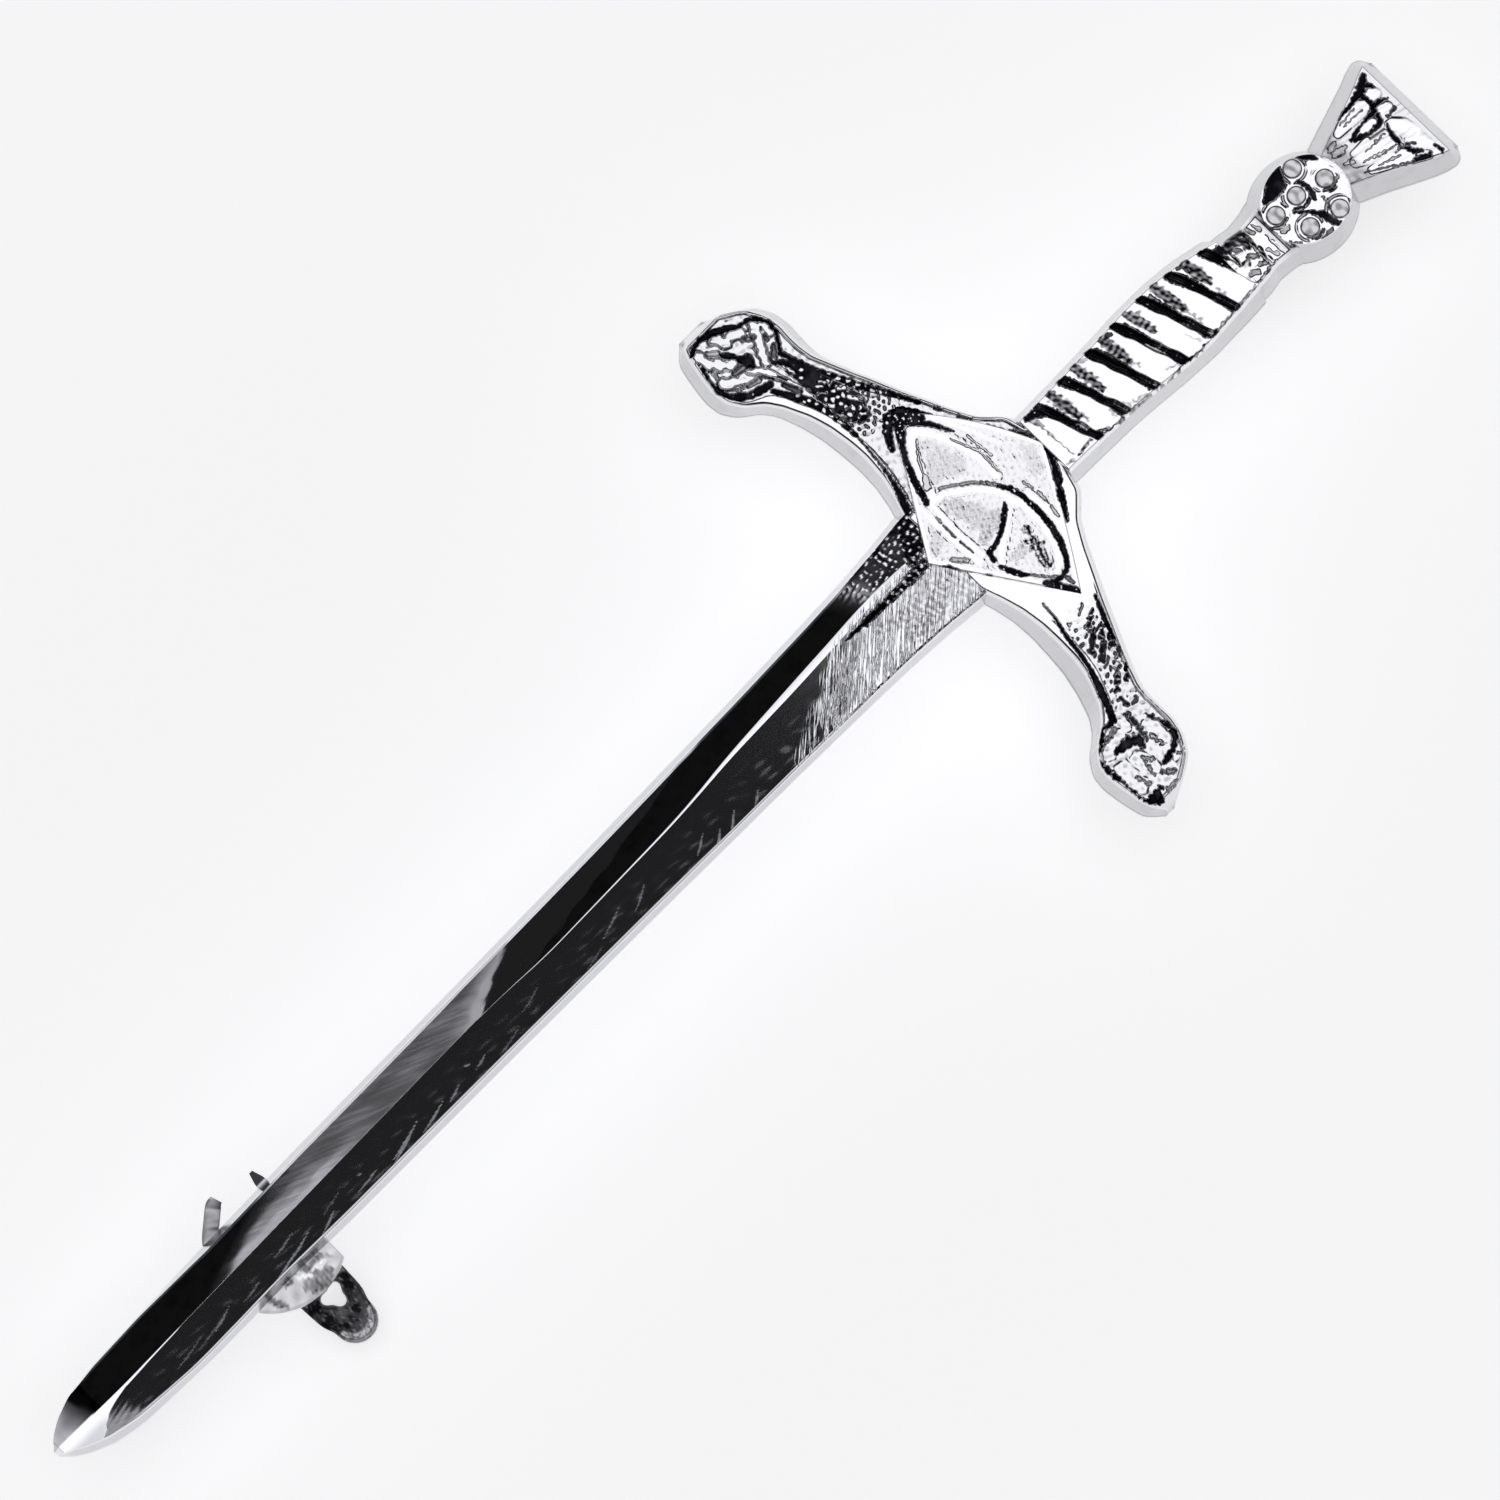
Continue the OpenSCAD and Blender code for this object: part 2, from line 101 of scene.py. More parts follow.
def makeCamera():
    turn, lean = math.radians(camera["turn"]), math.radians(camera["lean"])
    up = Vector((math.cos(turn), math.sin(turn), 0))
    aim = Vector((*camera["aim"], backHeight)) * mm
    away = camera["height"] * mm
    place = aim + Vector((0, 0, away)) - up * away * math.tan(lean)
    data = bpy.data.cameras.new("camera")
    data.lens = camera["lens"]
    data.sensor_width = camera["sensor"]
    data.clip_start = camera["clipStart"]
    shown = bpy.data.objects.new("camera", data)
    bpy.context.scene.collection.objects.link(shown)
    look = (aim - place).normalized()
    side = look.cross(up).normalized()
    top = side.cross(look)
    shown.matrix_world = Matrix([(side[i], top[i], -look[i], place[i]) for i in range(3)] + [(0, 0, 0, 1)])
    bpy.context.scene.camera = shown


def makeStudio():
    half = backdrop["reach"]
    mesh = bpy.data.meshes.new("floor")
    corners = [(-half, -half, 0), (half, -half, 0), (half, half, 0), (-half, half, 0)]
    mesh.from_pydata(corners, [], [(0, 1, 2, 3)])
    floor = bpy.data.objects.new("floor", mesh)
    bpy.context.scene.collection.objects.link(floor)
    paint = bpy.data.materials.new("floorPaper")
    paint.use_nodes = True
    shader = paint.node_tree.nodes["Principled BSDF"]
    shader.inputs["Base Color"].default_value = (*backdrop["tone"], 1)
    shader.inputs["Roughness"].default_value = backdrop["roughness"]
    shader.inputs["Specular IOR Level"].default_value = backdrop["specular"]
    shader.inputs["Emission Color"].default_value = (1, 1, 1, 1)
    shader.inputs["Emission Strength"].default_value = backdrop["glow"]
    mesh.materials.append(paint)

    # the room: bright straight above, dark round it, bright again at the horizon
    world = bpy.data.worlds.new("studio")
    world.use_nodes = True
    bpy.context.scene.world = world
    nodes, links = world.node_tree.nodes, world.node_tree.links
    where = nodes.new("ShaderNodeTexCoord")
    split = nodes.new("ShaderNodeSeparateXYZ")
    ramp = nodes.new("ShaderNodeValToRGB")
    links.new(where.outputs["Generated"], split.inputs[0])
    links.new(split.outputs["Z"], ramp.inputs[0])
    edges = studio["horizonEdge"][::-1] + studio["overheadEdge"][::-1]
    heights = [math.cos(math.radians(edge)) for edge in edges]
    levels = [studio["horizon"], studio["dark"], studio["dark"], studio["overhead"]]
    ramp.color_ramp.interpolation = "EASE"
    while len(ramp.color_ramp.elements) < len(levels):
        ramp.color_ramp.elements.new(0.5)
    for stop, at, level in zip(ramp.color_ramp.elements, heights, levels):
        stop.position = at
        stop.color = (level, level, level * studio["coolness"], 1)
    links.new(ramp.outputs[0], nodes["Background"].inputs["Color"])
    bpy.context.scene.view_settings.view_transform = "Standard"


# Surfaces from grids of points

def easedLine(t, stops, values, soft=0.0):
    # straight lines through the stops, each bend rounded by averaging over soft either way
    shifts = np.linspace(-soft, soft, 7)
    return sum(np.interp(t + shift, stops, values) for shift in shifts) / len(shifts)


def ease(t, low=0.0, high=1.0):
    # 0 below low, 1 above high, and 3t^2 - 2t^3 between
    t = np.clip((t - low) / (high - low), 0, 1)
    return t * t * (3 - 2 * t)


def ripples(x, y, length, seed, waves=7):
    # sum of sine waves of about one length in seeded directions, between about -1 and 1
    chance = np.random.default_rng(seed)
    turn, phase = chance.uniform(0, 2 * np.pi, (2, waves))
    pace = 2 * np.pi / (length * chance.uniform(0.75, 1.35, waves))
    total = sum(np.sin(p * (x * np.cos(a) + y * np.sin(a)) + f) for a, p, f in zip(turn, pace, phase))
    return total / math.sqrt(waves) / 1.4


def nearLines(x, y, lines):
    # how far inside tapered lines a point lies: 1 near a line's middle, 0 from its edge outwards; each
    # line is its strength and its points (x, y, half width), and one point alone is a round spot
    deepest = np.zeros(np.broadcast(x, y).shape)
    for strength, *points in lines:
        points = points * 2 if len(points) == 1 else points
        for (ax, ay, aw), (bx, by, bw) in zip(points[:-1], points[1:]):
            dx, dy = bx - ax, by - ay
            along = np.clip(((x - ax) * dx + (y - ay) * dy) / (dx * dx + dy * dy + 1e-9), 0, 1)
            away = np.hypot(x - ax - along * dx, y - ay - along * dy) / (aw + (bw - aw) * along)
            deepest = np.maximum(deepest, strength * ease(1.25 - away, 0, 0.5))
    return deepest


def widened(lines, factor):
    # the same lines with every half width larger
    return [(strength, *[(x, y, half * factor) for x, y, half in points]) for strength, *points in lines]


def ragged(x, y, reach, length, seed):
    # a point moved a little by two fields of ripples, so lines read through it get uneven edges
    return x + reach * ripples(x, y, length, seed), y + reach * ripples(x, y, length, seed + 1)


def roundedEdge(toEdge, reach):
    # 0 at an edge, 1 from reach inwards, and a quarter of a circle between
    return np.sqrt(np.clip(1 - (1 - np.minimum(toEdge / reach, 1)) ** 2, 0, 1))


def placed(points):
    # from the casting's millimetres to metres in the frame
    return (points + np.array([tipX, 0, backHeight])) * mm


def skinFaces(rings, start, kind):
    # quads over a grid of points, turned to face outwards; "closed" joins each ring's ends and caps both
    # end rings, "loop" joins each ring's ends and the first ring to the last
    rows, cols = rings.shape[:2]
    points = placed(rings).reshape(-1, 3)
    here = np.arange(rows * cols).reshape(rows, cols)
    beside = np.roll(here, -1, axis=1)
    above, aboveBeside = np.roll(here, -1, axis=0), np.roll(beside, -1, axis=0)
    quads = np.stack([here, beside, aboveBeside, above], axis=-1)
    if kind != "loop":
        quads = quads[:-1]
    quads = quads.reshape(-1, 4)
    a, b, c, d = (points[quads[:, i]] for i in range(4))
    volume = (np.einsum("ij,ij->i", a, np.cross(b, c)) + np.einsum("ij,ij->i", a, np.cross(c, d))).sum()
    faces = quads.tolist()
    if kind == "closed":
        points = np.concatenate([points, points[:cols].mean(0)[None], points[-cols:].mean(0)[None]])
        first, last = rows * cols, rows * cols + 1
        faces += [(q, p, first) for p, q in zip(here[0].tolist(), beside[0].tolist())]
        faces += [(p, q, last) for p, q in zip(here[-1].tolist(), beside[-1].tolist())]
    order = -1 if volume < 0 else 1
    return points, [tuple(start + i for i in face[::order]) for face in faces]


def makePiece(name, skins, look, node, body, sharp=None):
    # one piece from one or more skins; each is its rings, its marks and the way it closes
    points, faces = [], []
    held = {mark: [] for mark in markNames}
    for rings, marks, kind in skins:
        some, these = skinFaces(rings, sum(len(p) for p in points), kind)
        points.append(some)
        faces += these
        for mark in markNames:
            values = np.zeros(len(some))
            if mark in marks:
                values[:marks[mark].size] = np.clip(marks[mark], 0, 1).ravel()
            held[mark].append(values)
    mesh = bpy.data.meshes.new(name)
    mesh.from_pydata(np.concatenate(points).tolist(), [], faces)
    mesh.shade_smooth()
    if sharp:
        mesh.set_sharp_from_angle(angle=math.radians(sharp))
    for mark, values in held.items():
        mesh.attributes.new(mark, "FLOAT", "POINT").data.foreach_set("value", np.concatenate(values))
    piece = bpy.data.objects.new(name, mesh)
    bpy.context.scene.collection.objects.link(piece)
    mesh.materials.append(finish[look])
    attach(piece, body)
    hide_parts(node)


def walled(along, feet, across, top, marks, lies="x", rim=walls["rim"]):
    # for each place along, a closed section: a flat back between the two feet, a leaning wall up to
    # each end of the top, and the top; the walls get painted shade up to their bright upper rim
    first, last = feet
    up = np.linspace(0, 1, walls["steps"], endpoint=False)[None]
    down = np.linspace(1, 0, walls["steps"] + 1)[None, 1:-1]
    back = np.linspace(0, 1, walls["backSteps"], endpoint=False)[None]
    place = np.concatenate([last + (first - last) * back, first + (across[:, :1] - first) * up, across,
                            last + (across[:, -1:] - last) * down], 1)
    level = np.concatenate([0 * last * back, top[:, :1] * up, top, top[:, -1:] * down], 1)
    shades = [walls["shade"] * ease(1 - side, *rim) + 0 * first for side in (up, down)]
    held = {}
    for mark in markNames:
        values = marks.get(mark, 0 * top)
        dark = shades if mark == "grimeAndShade" else [0 * shade for shade in shades]
        held[mark] = np.concatenate([0 * last * back, dark[0], values, dark[1]], 1)
    parts = [along + 0 * place, place, level] if lies == "x" else [place, along + 0 * place, level]
    return np.stack(parts, axis=-1), held


def boxLoop(halfA, halfB, corner, steps=5):
    # a rectangle with round corners as one closed loop of points
    bends = np.linspace(0, np.pi / 2, steps)
    loop = []
    for quarter, (a, b) in enumerate(((1, 1), (-1, 1), (-1, -1), (1, -1))):
        turn = bends + quarter * np.pi / 2
        loop.append(np.stack([a * (halfA - corner) + corner * np.cos(turn),
                              b * (halfB - corner) + corner * np.sin(turn)], -1))
    return np.concatenate(loop)


def turnedRings(along, radius, axis, centre, turns=64):
    # a profile turned round an axis: along it, and radius away from it
    angle = np.linspace(0, 2 * np.pi, turns, endpoint=False)[None]
    along, radius = np.asarray(along)[:, None], np.asarray(radius)[:, None]
    parts = [along + 0 * angle, radius * np.cos(angle), radius * np.sin(angle)]
    order = {"x": (0, 1, 2), "y": (1, 0, 2), "z": (1, 2, 0)}[axis]
    return np.stack([parts[i] for i in order], axis=-1) + np.array(centre)


def arcRings(section, low, high, centre, steps=72, slot=0.0):
    # a section of (x, r) carried round the x axis from angle low to angle high, measured from straight up;
    # with a slot, both ends lie where y = slot, so each radius has its own limit
    x, r = section[:, 0][None], section[:, 1][None]
    share = np.linspace(0, 1, steps)[:, None]
    if slot:
        high = np.pi - np.arcsin(np.clip(slot / r, 0, 1))
        low = -high
    angle = low + (high - low) * share
    return np.stack([x + 0 * angle, r * np.sin(angle), r * np.cos(angle)], axis=-1) + np.array(centre)


def plateRings(outer, inner, thick, edge, across=14):
    # a flat ring between two outlines: for each point round it a loop over the front, rim, back and hole,
    # returned as (u, v, w) with w across the thickness, with how far each point is from hole and from rim
    step = outer - inner
    reach = np.hypot(step[:, 0], step[:, 1])[:, None]
    way = step / reach
    bend = np.linspace(np.pi / 2, -np.pi / 2, 9)[None]
    level = np.sign(np.sin(bend)) * (thick / 2 - edge) + edge * np.sin(bend)
    flat = np.linspace(0, 1, across)[None]
    front = edge + (reach - 2 * edge) * flat
    rim = reach - edge + edge * np.cos(bend)
    w = np.concatenate([front, rim, front[:, ::-1], edge - edge * np.cos(bend) + 0 * reach], 1)
    z = np.concatenate([thick / 2 + 0 * front, level + 0 * reach, -thick / 2 + 0 * front,
                        level[:, ::-1] + 0 * reach], 1)
    plane = inner[:, None] + way[:, None] * w[..., None]
    return np.concatenate([plane, z[..., None]], -1), w, reach - w


# Finishes

def groupOf(name, inputs, outputs):
    # an empty shader group with its named sockets
    group = bpy.data.node_groups.new(name, "ShaderNodeTree")
    for label, kind, value in inputs:
        socket = group.interface.new_socket(label, in_out="INPUT", socket_type="NodeSocket" + kind)
        if value is not None:
            socket.default_value = value
    for label, kind in outputs:
        group.interface.new_socket(label, in_out="OUTPUT", socket_type="NodeSocket" + kind)
    return group, group.nodes.new("NodeGroupInput"), group.nodes.new("NodeGroupOutput")


def reckon(nodes, links, operation, *values):
    # one maths node, its inputs numbers or sockets
    node = nodes.new("ShaderNodeMath")
    node.operation = operation
    for socket, value in zip(node.inputs, values):
        if isinstance(value, (int, float)):
            socket.default_value = value
        else:
            links.new(value, socket)
    return node.outputs[0]


def fileMarksGroup():
    # fine parallel marks: noise of one spacing, stretched twentyfold along one direction
    group, given, out = groupOf("fileMarks", [
        ("Position", "Vector", None), ("Turn", "Vector", (0, 0, 0)), ("Spacing", "Float", 0.12)],
        [("Height", "Float")])
    nodes, links = group.nodes, group.links
    turned = nodes.new("ShaderNodeVectorRotate")
    turned.rotation_type = "EULER_XYZ"
    links.new(given.outputs["Position"], turned.inputs["Vector"])
    links.new(given.outputs["Turn"], turned.inputs["Rotation"])
    squeezed = nodes.new("ShaderNodeVectorMath")
    squeezed.operation = "MULTIPLY"
    squeezed.inputs[1].default_value = (0.05, 1, 0.3)
    links.new(turned.outputs[0], squeezed.inputs[0])
    lines = nodes.new("ShaderNodeTexNoise")
    lines.inputs["Detail"].default_value = 2
    links.new(squeezed.outputs[0], lines.inputs["Vector"])
    links.new(reckon(nodes, links, "DIVIDE", 1000, given.outputs["Spacing"]), lines.inputs["Scale"])
    sharper = nodes.new("ShaderNodeMapRange")
    sharper.interpolation_type = "SMOOTHSTEP"
    sharper.inputs["From Min"].default_value = 0.42
    sharper.inputs["From Max"].default_value = 0.64
    links.new(lines.outputs[0], sharper.inputs["Value"])
    links.new(sharper.outputs[0], out.inputs["Height"])
    return group


def castGrainGroup():
    # the close bumps of a cast ground: rounded cells with a little noise over them
    group, given, out = groupOf("castGrain", [
        ("Position", "Vector", None), ("Size", "Float", 0.2)], [("Height", "Float"), ("Pits", "Float")])
    nodes, links = group.nodes, group.links
    scale = reckon(nodes, links, "DIVIDE", 1000, given.outputs["Size"])
    cells = nodes.new("ShaderNodeTexVoronoi")
    cells.feature = "SMOOTH_F1"
    cells.inputs["Smoothness"].default_value = 0.6
    links.new(given.outputs["Position"], cells.inputs["Vector"])
    links.new(scale, cells.inputs["Scale"])
    noise = nodes.new("ShaderNodeTexNoise")
    noise.inputs["Detail"].default_value = 3
    links.new(given.outputs["Position"], noise.inputs["Vector"])
    links.new(reckon(nodes, links, "MULTIPLY", scale, 0.8), noise.inputs["Scale"])
    joined = reckon(nodes, links, "ADD", reckon(nodes, links, "MULTIPLY", cells.outputs["Distance"], -0.8),
                    noise.outputs[0])
    links.new(joined, out.inputs["Height"])
    links.new(reckon(nodes, links, "LESS_THAN", joined, 0.02), out.inputs["Pits"])
    return group


def plateToneGroup():
    # plate colour, darkened towards the tarnish colour by grime, painted shade and painted dark
    # reflections, with soft clouds in both colour and roughness
    group, given, out = groupOf("plateTone", [
        ("Position", "Vector", None), ("Plate", "Color", (0.8, 0.8, 0.82, 1)),
        ("Tarnish", "Color", (0.02, 0.02, 0.025, 1)), ("Grime", "Float", 0.0), ("Worn", "Float", 0.0),
        ("Gloss", "Float", 0.08), ("Satin", "Float", 0.4), ("Dull", "Float", 0.3),
        ("Clouds", "Float", 0.2)], [("Color", "Color"), ("Roughness", "Float")])
    nodes, links = group.nodes, group.links
    noise = nodes.new("ShaderNodeTexNoise")
    noise.inputs["Scale"].default_value = 1100
    noise.inputs["Detail"].default_value = 4
    links.new(given.outputs["Position"], noise.inputs["Vector"])
    centred = reckon(nodes, links, "SUBTRACT", noise.outputs[0], 0.5)
    uneven = reckon(nodes, links, "MULTIPLY_ADD", centred, given.outputs["Clouds"], 1)
    clouded = reckon(nodes, links, "MULTIPLY_ADD", reckon(nodes, links, "ABSOLUTE", centred),
                     reckon(nodes, links, "MULTIPLY", given.outputs["Clouds"], 0.5), given.outputs["Grime"])
    dirt = reckon(nodes, links, "MINIMUM", reckon(nodes, links, "MULTIPLY", clouded, uneven), 1)
    mixed = nodes.new("ShaderNodeMix")
    mixed.data_type = "RGBA"
    links.new(dirt, mixed.inputs["Factor"])
    links.new(given.outputs["Plate"], mixed.inputs["A"])
    links.new(given.outputs["Tarnish"], mixed.inputs["B"])
    links.new(mixed.outputs["Result"], out.inputs["Color"])
    satin = nodes.new("ShaderNodeMix")
    links.new(given.outputs["Worn"], satin.inputs["Factor"])
    links.new(given.outputs["Gloss"], satin.inputs["A"])
    links.new(given.outputs["Satin"], satin.inputs["B"])
    rough = nodes.new("ShaderNodeMix")
    links.new(dirt, rough.inputs["Factor"])
    links.new(reckon(nodes, links, "MULTIPLY", satin.outputs["Result"], uneven), rough.inputs["A"])
    links.new(given.outputs["Dull"], rough.inputs["B"])
    links.new(rough.outputs["Result"], out.inputs["Roughness"])
    return group


groups = {"marks": fileMarksGroup(), "grain": castGrainGroup(), "tone": plateToneGroup()}


def plated(name, look):
    # one plated finish: its tone, grain and two runs of file marks from the shared groups, each with
    # its own values, steered by the marks that the pieces carry
    material = bpy.data.materials.new(name)
    material.use_nodes = True
    nodes, links = material.node_tree.nodes, material.node_tree.links
    shader = nodes["Principled BSDF"]
    shader.inputs["Metallic"].default_value = 1
    where = nodes.new("ShaderNodeTexCoord").outputs["Object"]
    carried = {}
    for mark in markNames:
        node = nodes.new("ShaderNodeAttribute")
        node.attribute_name = mark
        carried[mark] = node.outputs["Fac"]

    def placedGroup(key, **values):
        node = nodes.new("ShaderNodeGroup")
        node.node_tree = groups[key]
        links.new(where, node.inputs["Position"])
        for label, value in values.items():
            if hasattr(value, "is_linked"):
                links.new(value, node.inputs[label])
            else:
                node.inputs[label].default_value = value
        return node

    grain = placedGroup("grain", Size=look["grainSize"])
    runs = {}
    for run in ("filed", "rubbed"):
        turn = (0, 0, -math.radians(look[run + "Turn"]))
        runs[run] = placedGroup("marks", Turn=turn, Spacing=look[run + "Spacing"]).outputs["Height"]
    # the larger of the grime-and-shade mark (grime, painted shade, painted dark reflections) and the cast
    # grain's pits
    shadedAndPitted = reckon(nodes, links, "MAXIMUM", carried["grimeAndShade"],
                    reckon(nodes, links, "MULTIPLY", grain.outputs["Pits"], look["pitShare"]))
    streaked = reckon(nodes, links, "MULTIPLY", carried["worn"],
                      reckon(nodes, links, "MULTIPLY_ADD", runs["rubbed"], 0.2, 0.85))
    tone = placedGroup("tone", Plate=(*look["plate"], 1), Tarnish=(*look["tarnishAndShade"], 1), Grime=shadedAndPitted,
                       Worn=streaked, Gloss=look["gloss"], Satin=look["satin"], Dull=look["dull"],
                       Clouds=look["clouds"])
    links.new(tone.outputs["Color"], shader.inputs["Base Color"])
    links.new(tone.outputs["Roughness"], shader.inputs["Roughness"])
    heights = [reckon(nodes, links, "MULTIPLY", grain.outputs["Height"], look["grainDepth"])]
    for run, mark in (("filed", "filed"), ("rubbed", "worn")):
        deep = reckon(nodes, links, "MULTIPLY", runs[run], look[run + "Depth"])
        heights.append(reckon(nodes, links, "MULTIPLY", deep, carried[mark]))
    bumps = nodes.new("ShaderNodeBump")
    bumps.inputs["Distance"].default_value = mm
    bumps.inputs["Strength"].default_value = 1
    links.new(reckon(nodes, links, "ADD", heights[0], reckon(nodes, links, "ADD", *heights[1:])),
              bumps.inputs["Height"])
    links.new(bumps.outputs[0], shader.inputs["Normal"])
    return material


# each look's tarnish colour is what grime, painted shade and painted dark reflections darken its plate
# towards
looks = {
    "polish": {"plate": (0.83, 0.83, 0.87), "tarnishAndShade": (0.003, 0.003, 0.004),
               "pitShare": 0.0, "clouds": 0.1, "gloss": 0.09, "satin": 0.64, "dull": 0.3,
               "grainSize": 0.5, "grainDepth": 0.001,
               "filedTurn": 42, "filedSpacing": 0.13, "filedDepth": 0.05,
               "rubbedTurn": -24, "rubbedSpacing": 0.16, "rubbedDepth": 0.003},
    "relief": {"plate": (0.84, 0.84, 0.86), "tarnishAndShade": (0.005, 0.005, 0.008),
               "pitShare": 0.0, "clouds": 0.28, "gloss": 0.12, "satin": 0.4, "dull": 0.4,
               "grainSize": 0.22, "grainDepth": 0.004,
               "filedTurn": 40, "filedSpacing": 0.12, "filedDepth": 0.02,
               "rubbedTurn": 20, "rubbedSpacing": 0.2, "rubbedDepth": 0.004},
    "backing": {"plate": (0.78, 0.78, 0.8), "tarnishAndShade": (0.05, 0.05, 0.055),
                "pitShare": 0.15, "clouds": 0.6, "gloss": 0.22, "satin": 0.4, "dull": 0.45,
                "grainSize": 0.35, "grainDepth": 0.01,
                "filedTurn": 10, "filedSpacing": 0.15, "filedDepth": 0.01,
                "rubbedTurn": 60, "rubbedSpacing": 0.2, "rubbedDepth": 0.004},
    # the lever's plate is darker than the rest, for a painted dark reflection
    "lever": {"plate": (0.5, 0.5, 0.52), "tarnishAndShade": (0.012, 0.012, 0.014),
              "pitShare": 0.5, "clouds": 1.2, "gloss": 0.3, "satin": 0.5, "dull": 0.5,
              "grainSize": 0.22, "grainDepth": 0.02,
              "filedTurn": 80, "filedSpacing": 0.16, "filedDepth": 0.02,
              "rubbedTurn": 10, "rubbedSpacing": 0.2, "rubbedDepth": 0.01},
    "wire": {"plate": (0.8, 0.8, 0.82), "tarnishAndShade": (0.2, 0.2, 0.22),
             "pitShare": 0.0, "clouds": 0.4, "gloss": 0.14, "satin": 0.3, "dull": 0.3,
             "grainSize": 0.5, "grainDepth": 0.002,
             "filedTurn": 0, "filedSpacing": 0.1, "filedDepth": 0.006,
             "rubbedTurn": 90, "rubbedSpacing": 0.2, "rubbedDepth": 0.004},
}
finish = {name: plated(name, look) for name, look in looks.items()}
print("finishes made")


# The blade

blade = {
    "len": 66.6,                 # tip to where it runs under the guard's panel
    "rows": 900, "acrossTop": 82, "rowBunching": 1.12,    # rows lie closer together towards the tip
    "tableLen": 65.0, "rootHalf": 3.3,
    "stops": (0, 0.008, 0.02, 0.04, 0.07, 0.12, 0.18, 0.3, 0.47, 0.64, 0.8, 0.885, 0.925, 0.965, 1.0,
              1.03),
    "width": (0.06, 0.23, 0.37, 0.51, 0.58, 0.62, 0.66, 0.71, 0.73, 0.765, 0.81, 0.85, 0.88, 0.93, 1.0,
              1.0),
    "riseStops": (0, 0.35, 1.0, 2.0, 3.2, 5.0, 60.0, 64.0, 66.6),
    "rise": (0.5, 0.84, 0.89, 0.94, 0.98, 1, 1, 0.97, 0.93),
    "ridge": 2.3, "edge": 1.3, "steepest": 0.4,
    "leanStops": (0, 3, 8, 13, 67),
    "upperLean": (0.16, 0.16, 0.18, 0.44, 0.44), "lowerLean": (0.4, 0.38, 0.22, 0.28, 0.28),
    "leastTop": 0.6,             # the top is never narrower than this share of the blade
    "bellyStops": (1, 4, 9, 15), "belly": (0, 0.2, 0.2, 0),    # the lower edge's fuller curve near the tip
    "ridgeStops": (0, 5, 10, 15, 20, 25, 30, 33, 36, 40, 45, 47, 50, 55, 58, 60, 63, 66),
    "ridgeDrift": (0, -0.12, -0.04, 0.02, 0.08, 0.14, 0.18, 0.12, -0.04, 0.02, 0.1, 0.2, 0.45, 0.64,
                   0.78, 0.9, 0.95, 0.8),
    "flatStops": (0, 33, 36, 42, 47, 50, 55, 61, 64.5, 67),
    "flatHalf": (0.003, 0.003, 0.015, 0.03, 0.05, 0.1, 0.18, 0.19, 0.06, 0.06),
    "wedgeStops": (0, 0.6, 1, 1.5, 2, 2.6, 3, 3.3, 4, 5, 7, 9, 10),
    "wedgeReach": (0.3, 0.5, 0.8, 1.1, 1.3, 1.2, 0.8, 0.5, 0.22, 0.12, 0.05, 0.02, -0.1),
    "tipSatin": (2.5, 0.95, 1.5),        # where the brushed grey round the wedge starts, slants and ends
    "tipWear": 0.95, "wedgeShade": 0.34,
    "tipFlat": (2.2, 3.4),
    "tipShadeStops": (0.3, 1.2, 1.8, 2.3, 2.8), "tipShade": (0.38, 0.6, 0.82, 0.95, 0.99),
    "fallFrom": 54.6, "fallSlant": 1.9, "fallLen": 3.0,
    "satinFrom": 11.2, "satinSlant": 2.9, "satinTo": 31.2, "satinEndSlant": 1.1, "satinEndBend": 0.5,
    "satinEarly": (17, 22),              # where the satin's brighter start fades
    "satinBright": (0.5, 0.27, 0.3),     # everywhere, more at both ends, and more in its last streak
    "glowFrom": (11.5, 14), "glowTo": (19, 24), "glowFlat": 0.45, "endFlat": 0.42,
    "black": 0.93, "blackLine": (35.0, 0.22, 0.14),    # the painted dark reflection's strength, and where its line starts, its y there and its slope
    "rimRound": 0.06, "rimHalf": 0.13, "waviness": 0.006,
    "stippleFrom": (60.0, 62.5), "stippleDepth": 0.016, "hollowDepth": 0.12,
    "scratch": (0.02, 0.07, 0.04),       # half width at the ends and in the middle, and how far it sags
    "scratchWear": 0.58, "brushWear": 0.22,
}
# Hollows dark with painted shade, and softer darker patches, where the blade meets the guard
bladeHollows = [
    (1, (58.6, 0.42, 0.05), (60, 0.34, 0.15), (62, 0.30, 0.2), (63.4, 0.28, 0.26), (64.2, 0.32, 0.28)),
    (1, (63.9, 0.8, 0.25), (64.4, 1.2, 0.42), (65.1, 2.0, 0.55), (65.8, 2.8, 0.5), (66.4, 3.6, 0.3))]
bladeDarkPatches = [
    (0.6, (61.4, -2.0, 0.45), (62.8, -1.7, 0.7), (63.9, -1.3, 0.5)),
    (0.5, (60.2, -0.5, 0.2), (61.6, -0.9, 0.5), (62.6, -1.1, 0.4))]
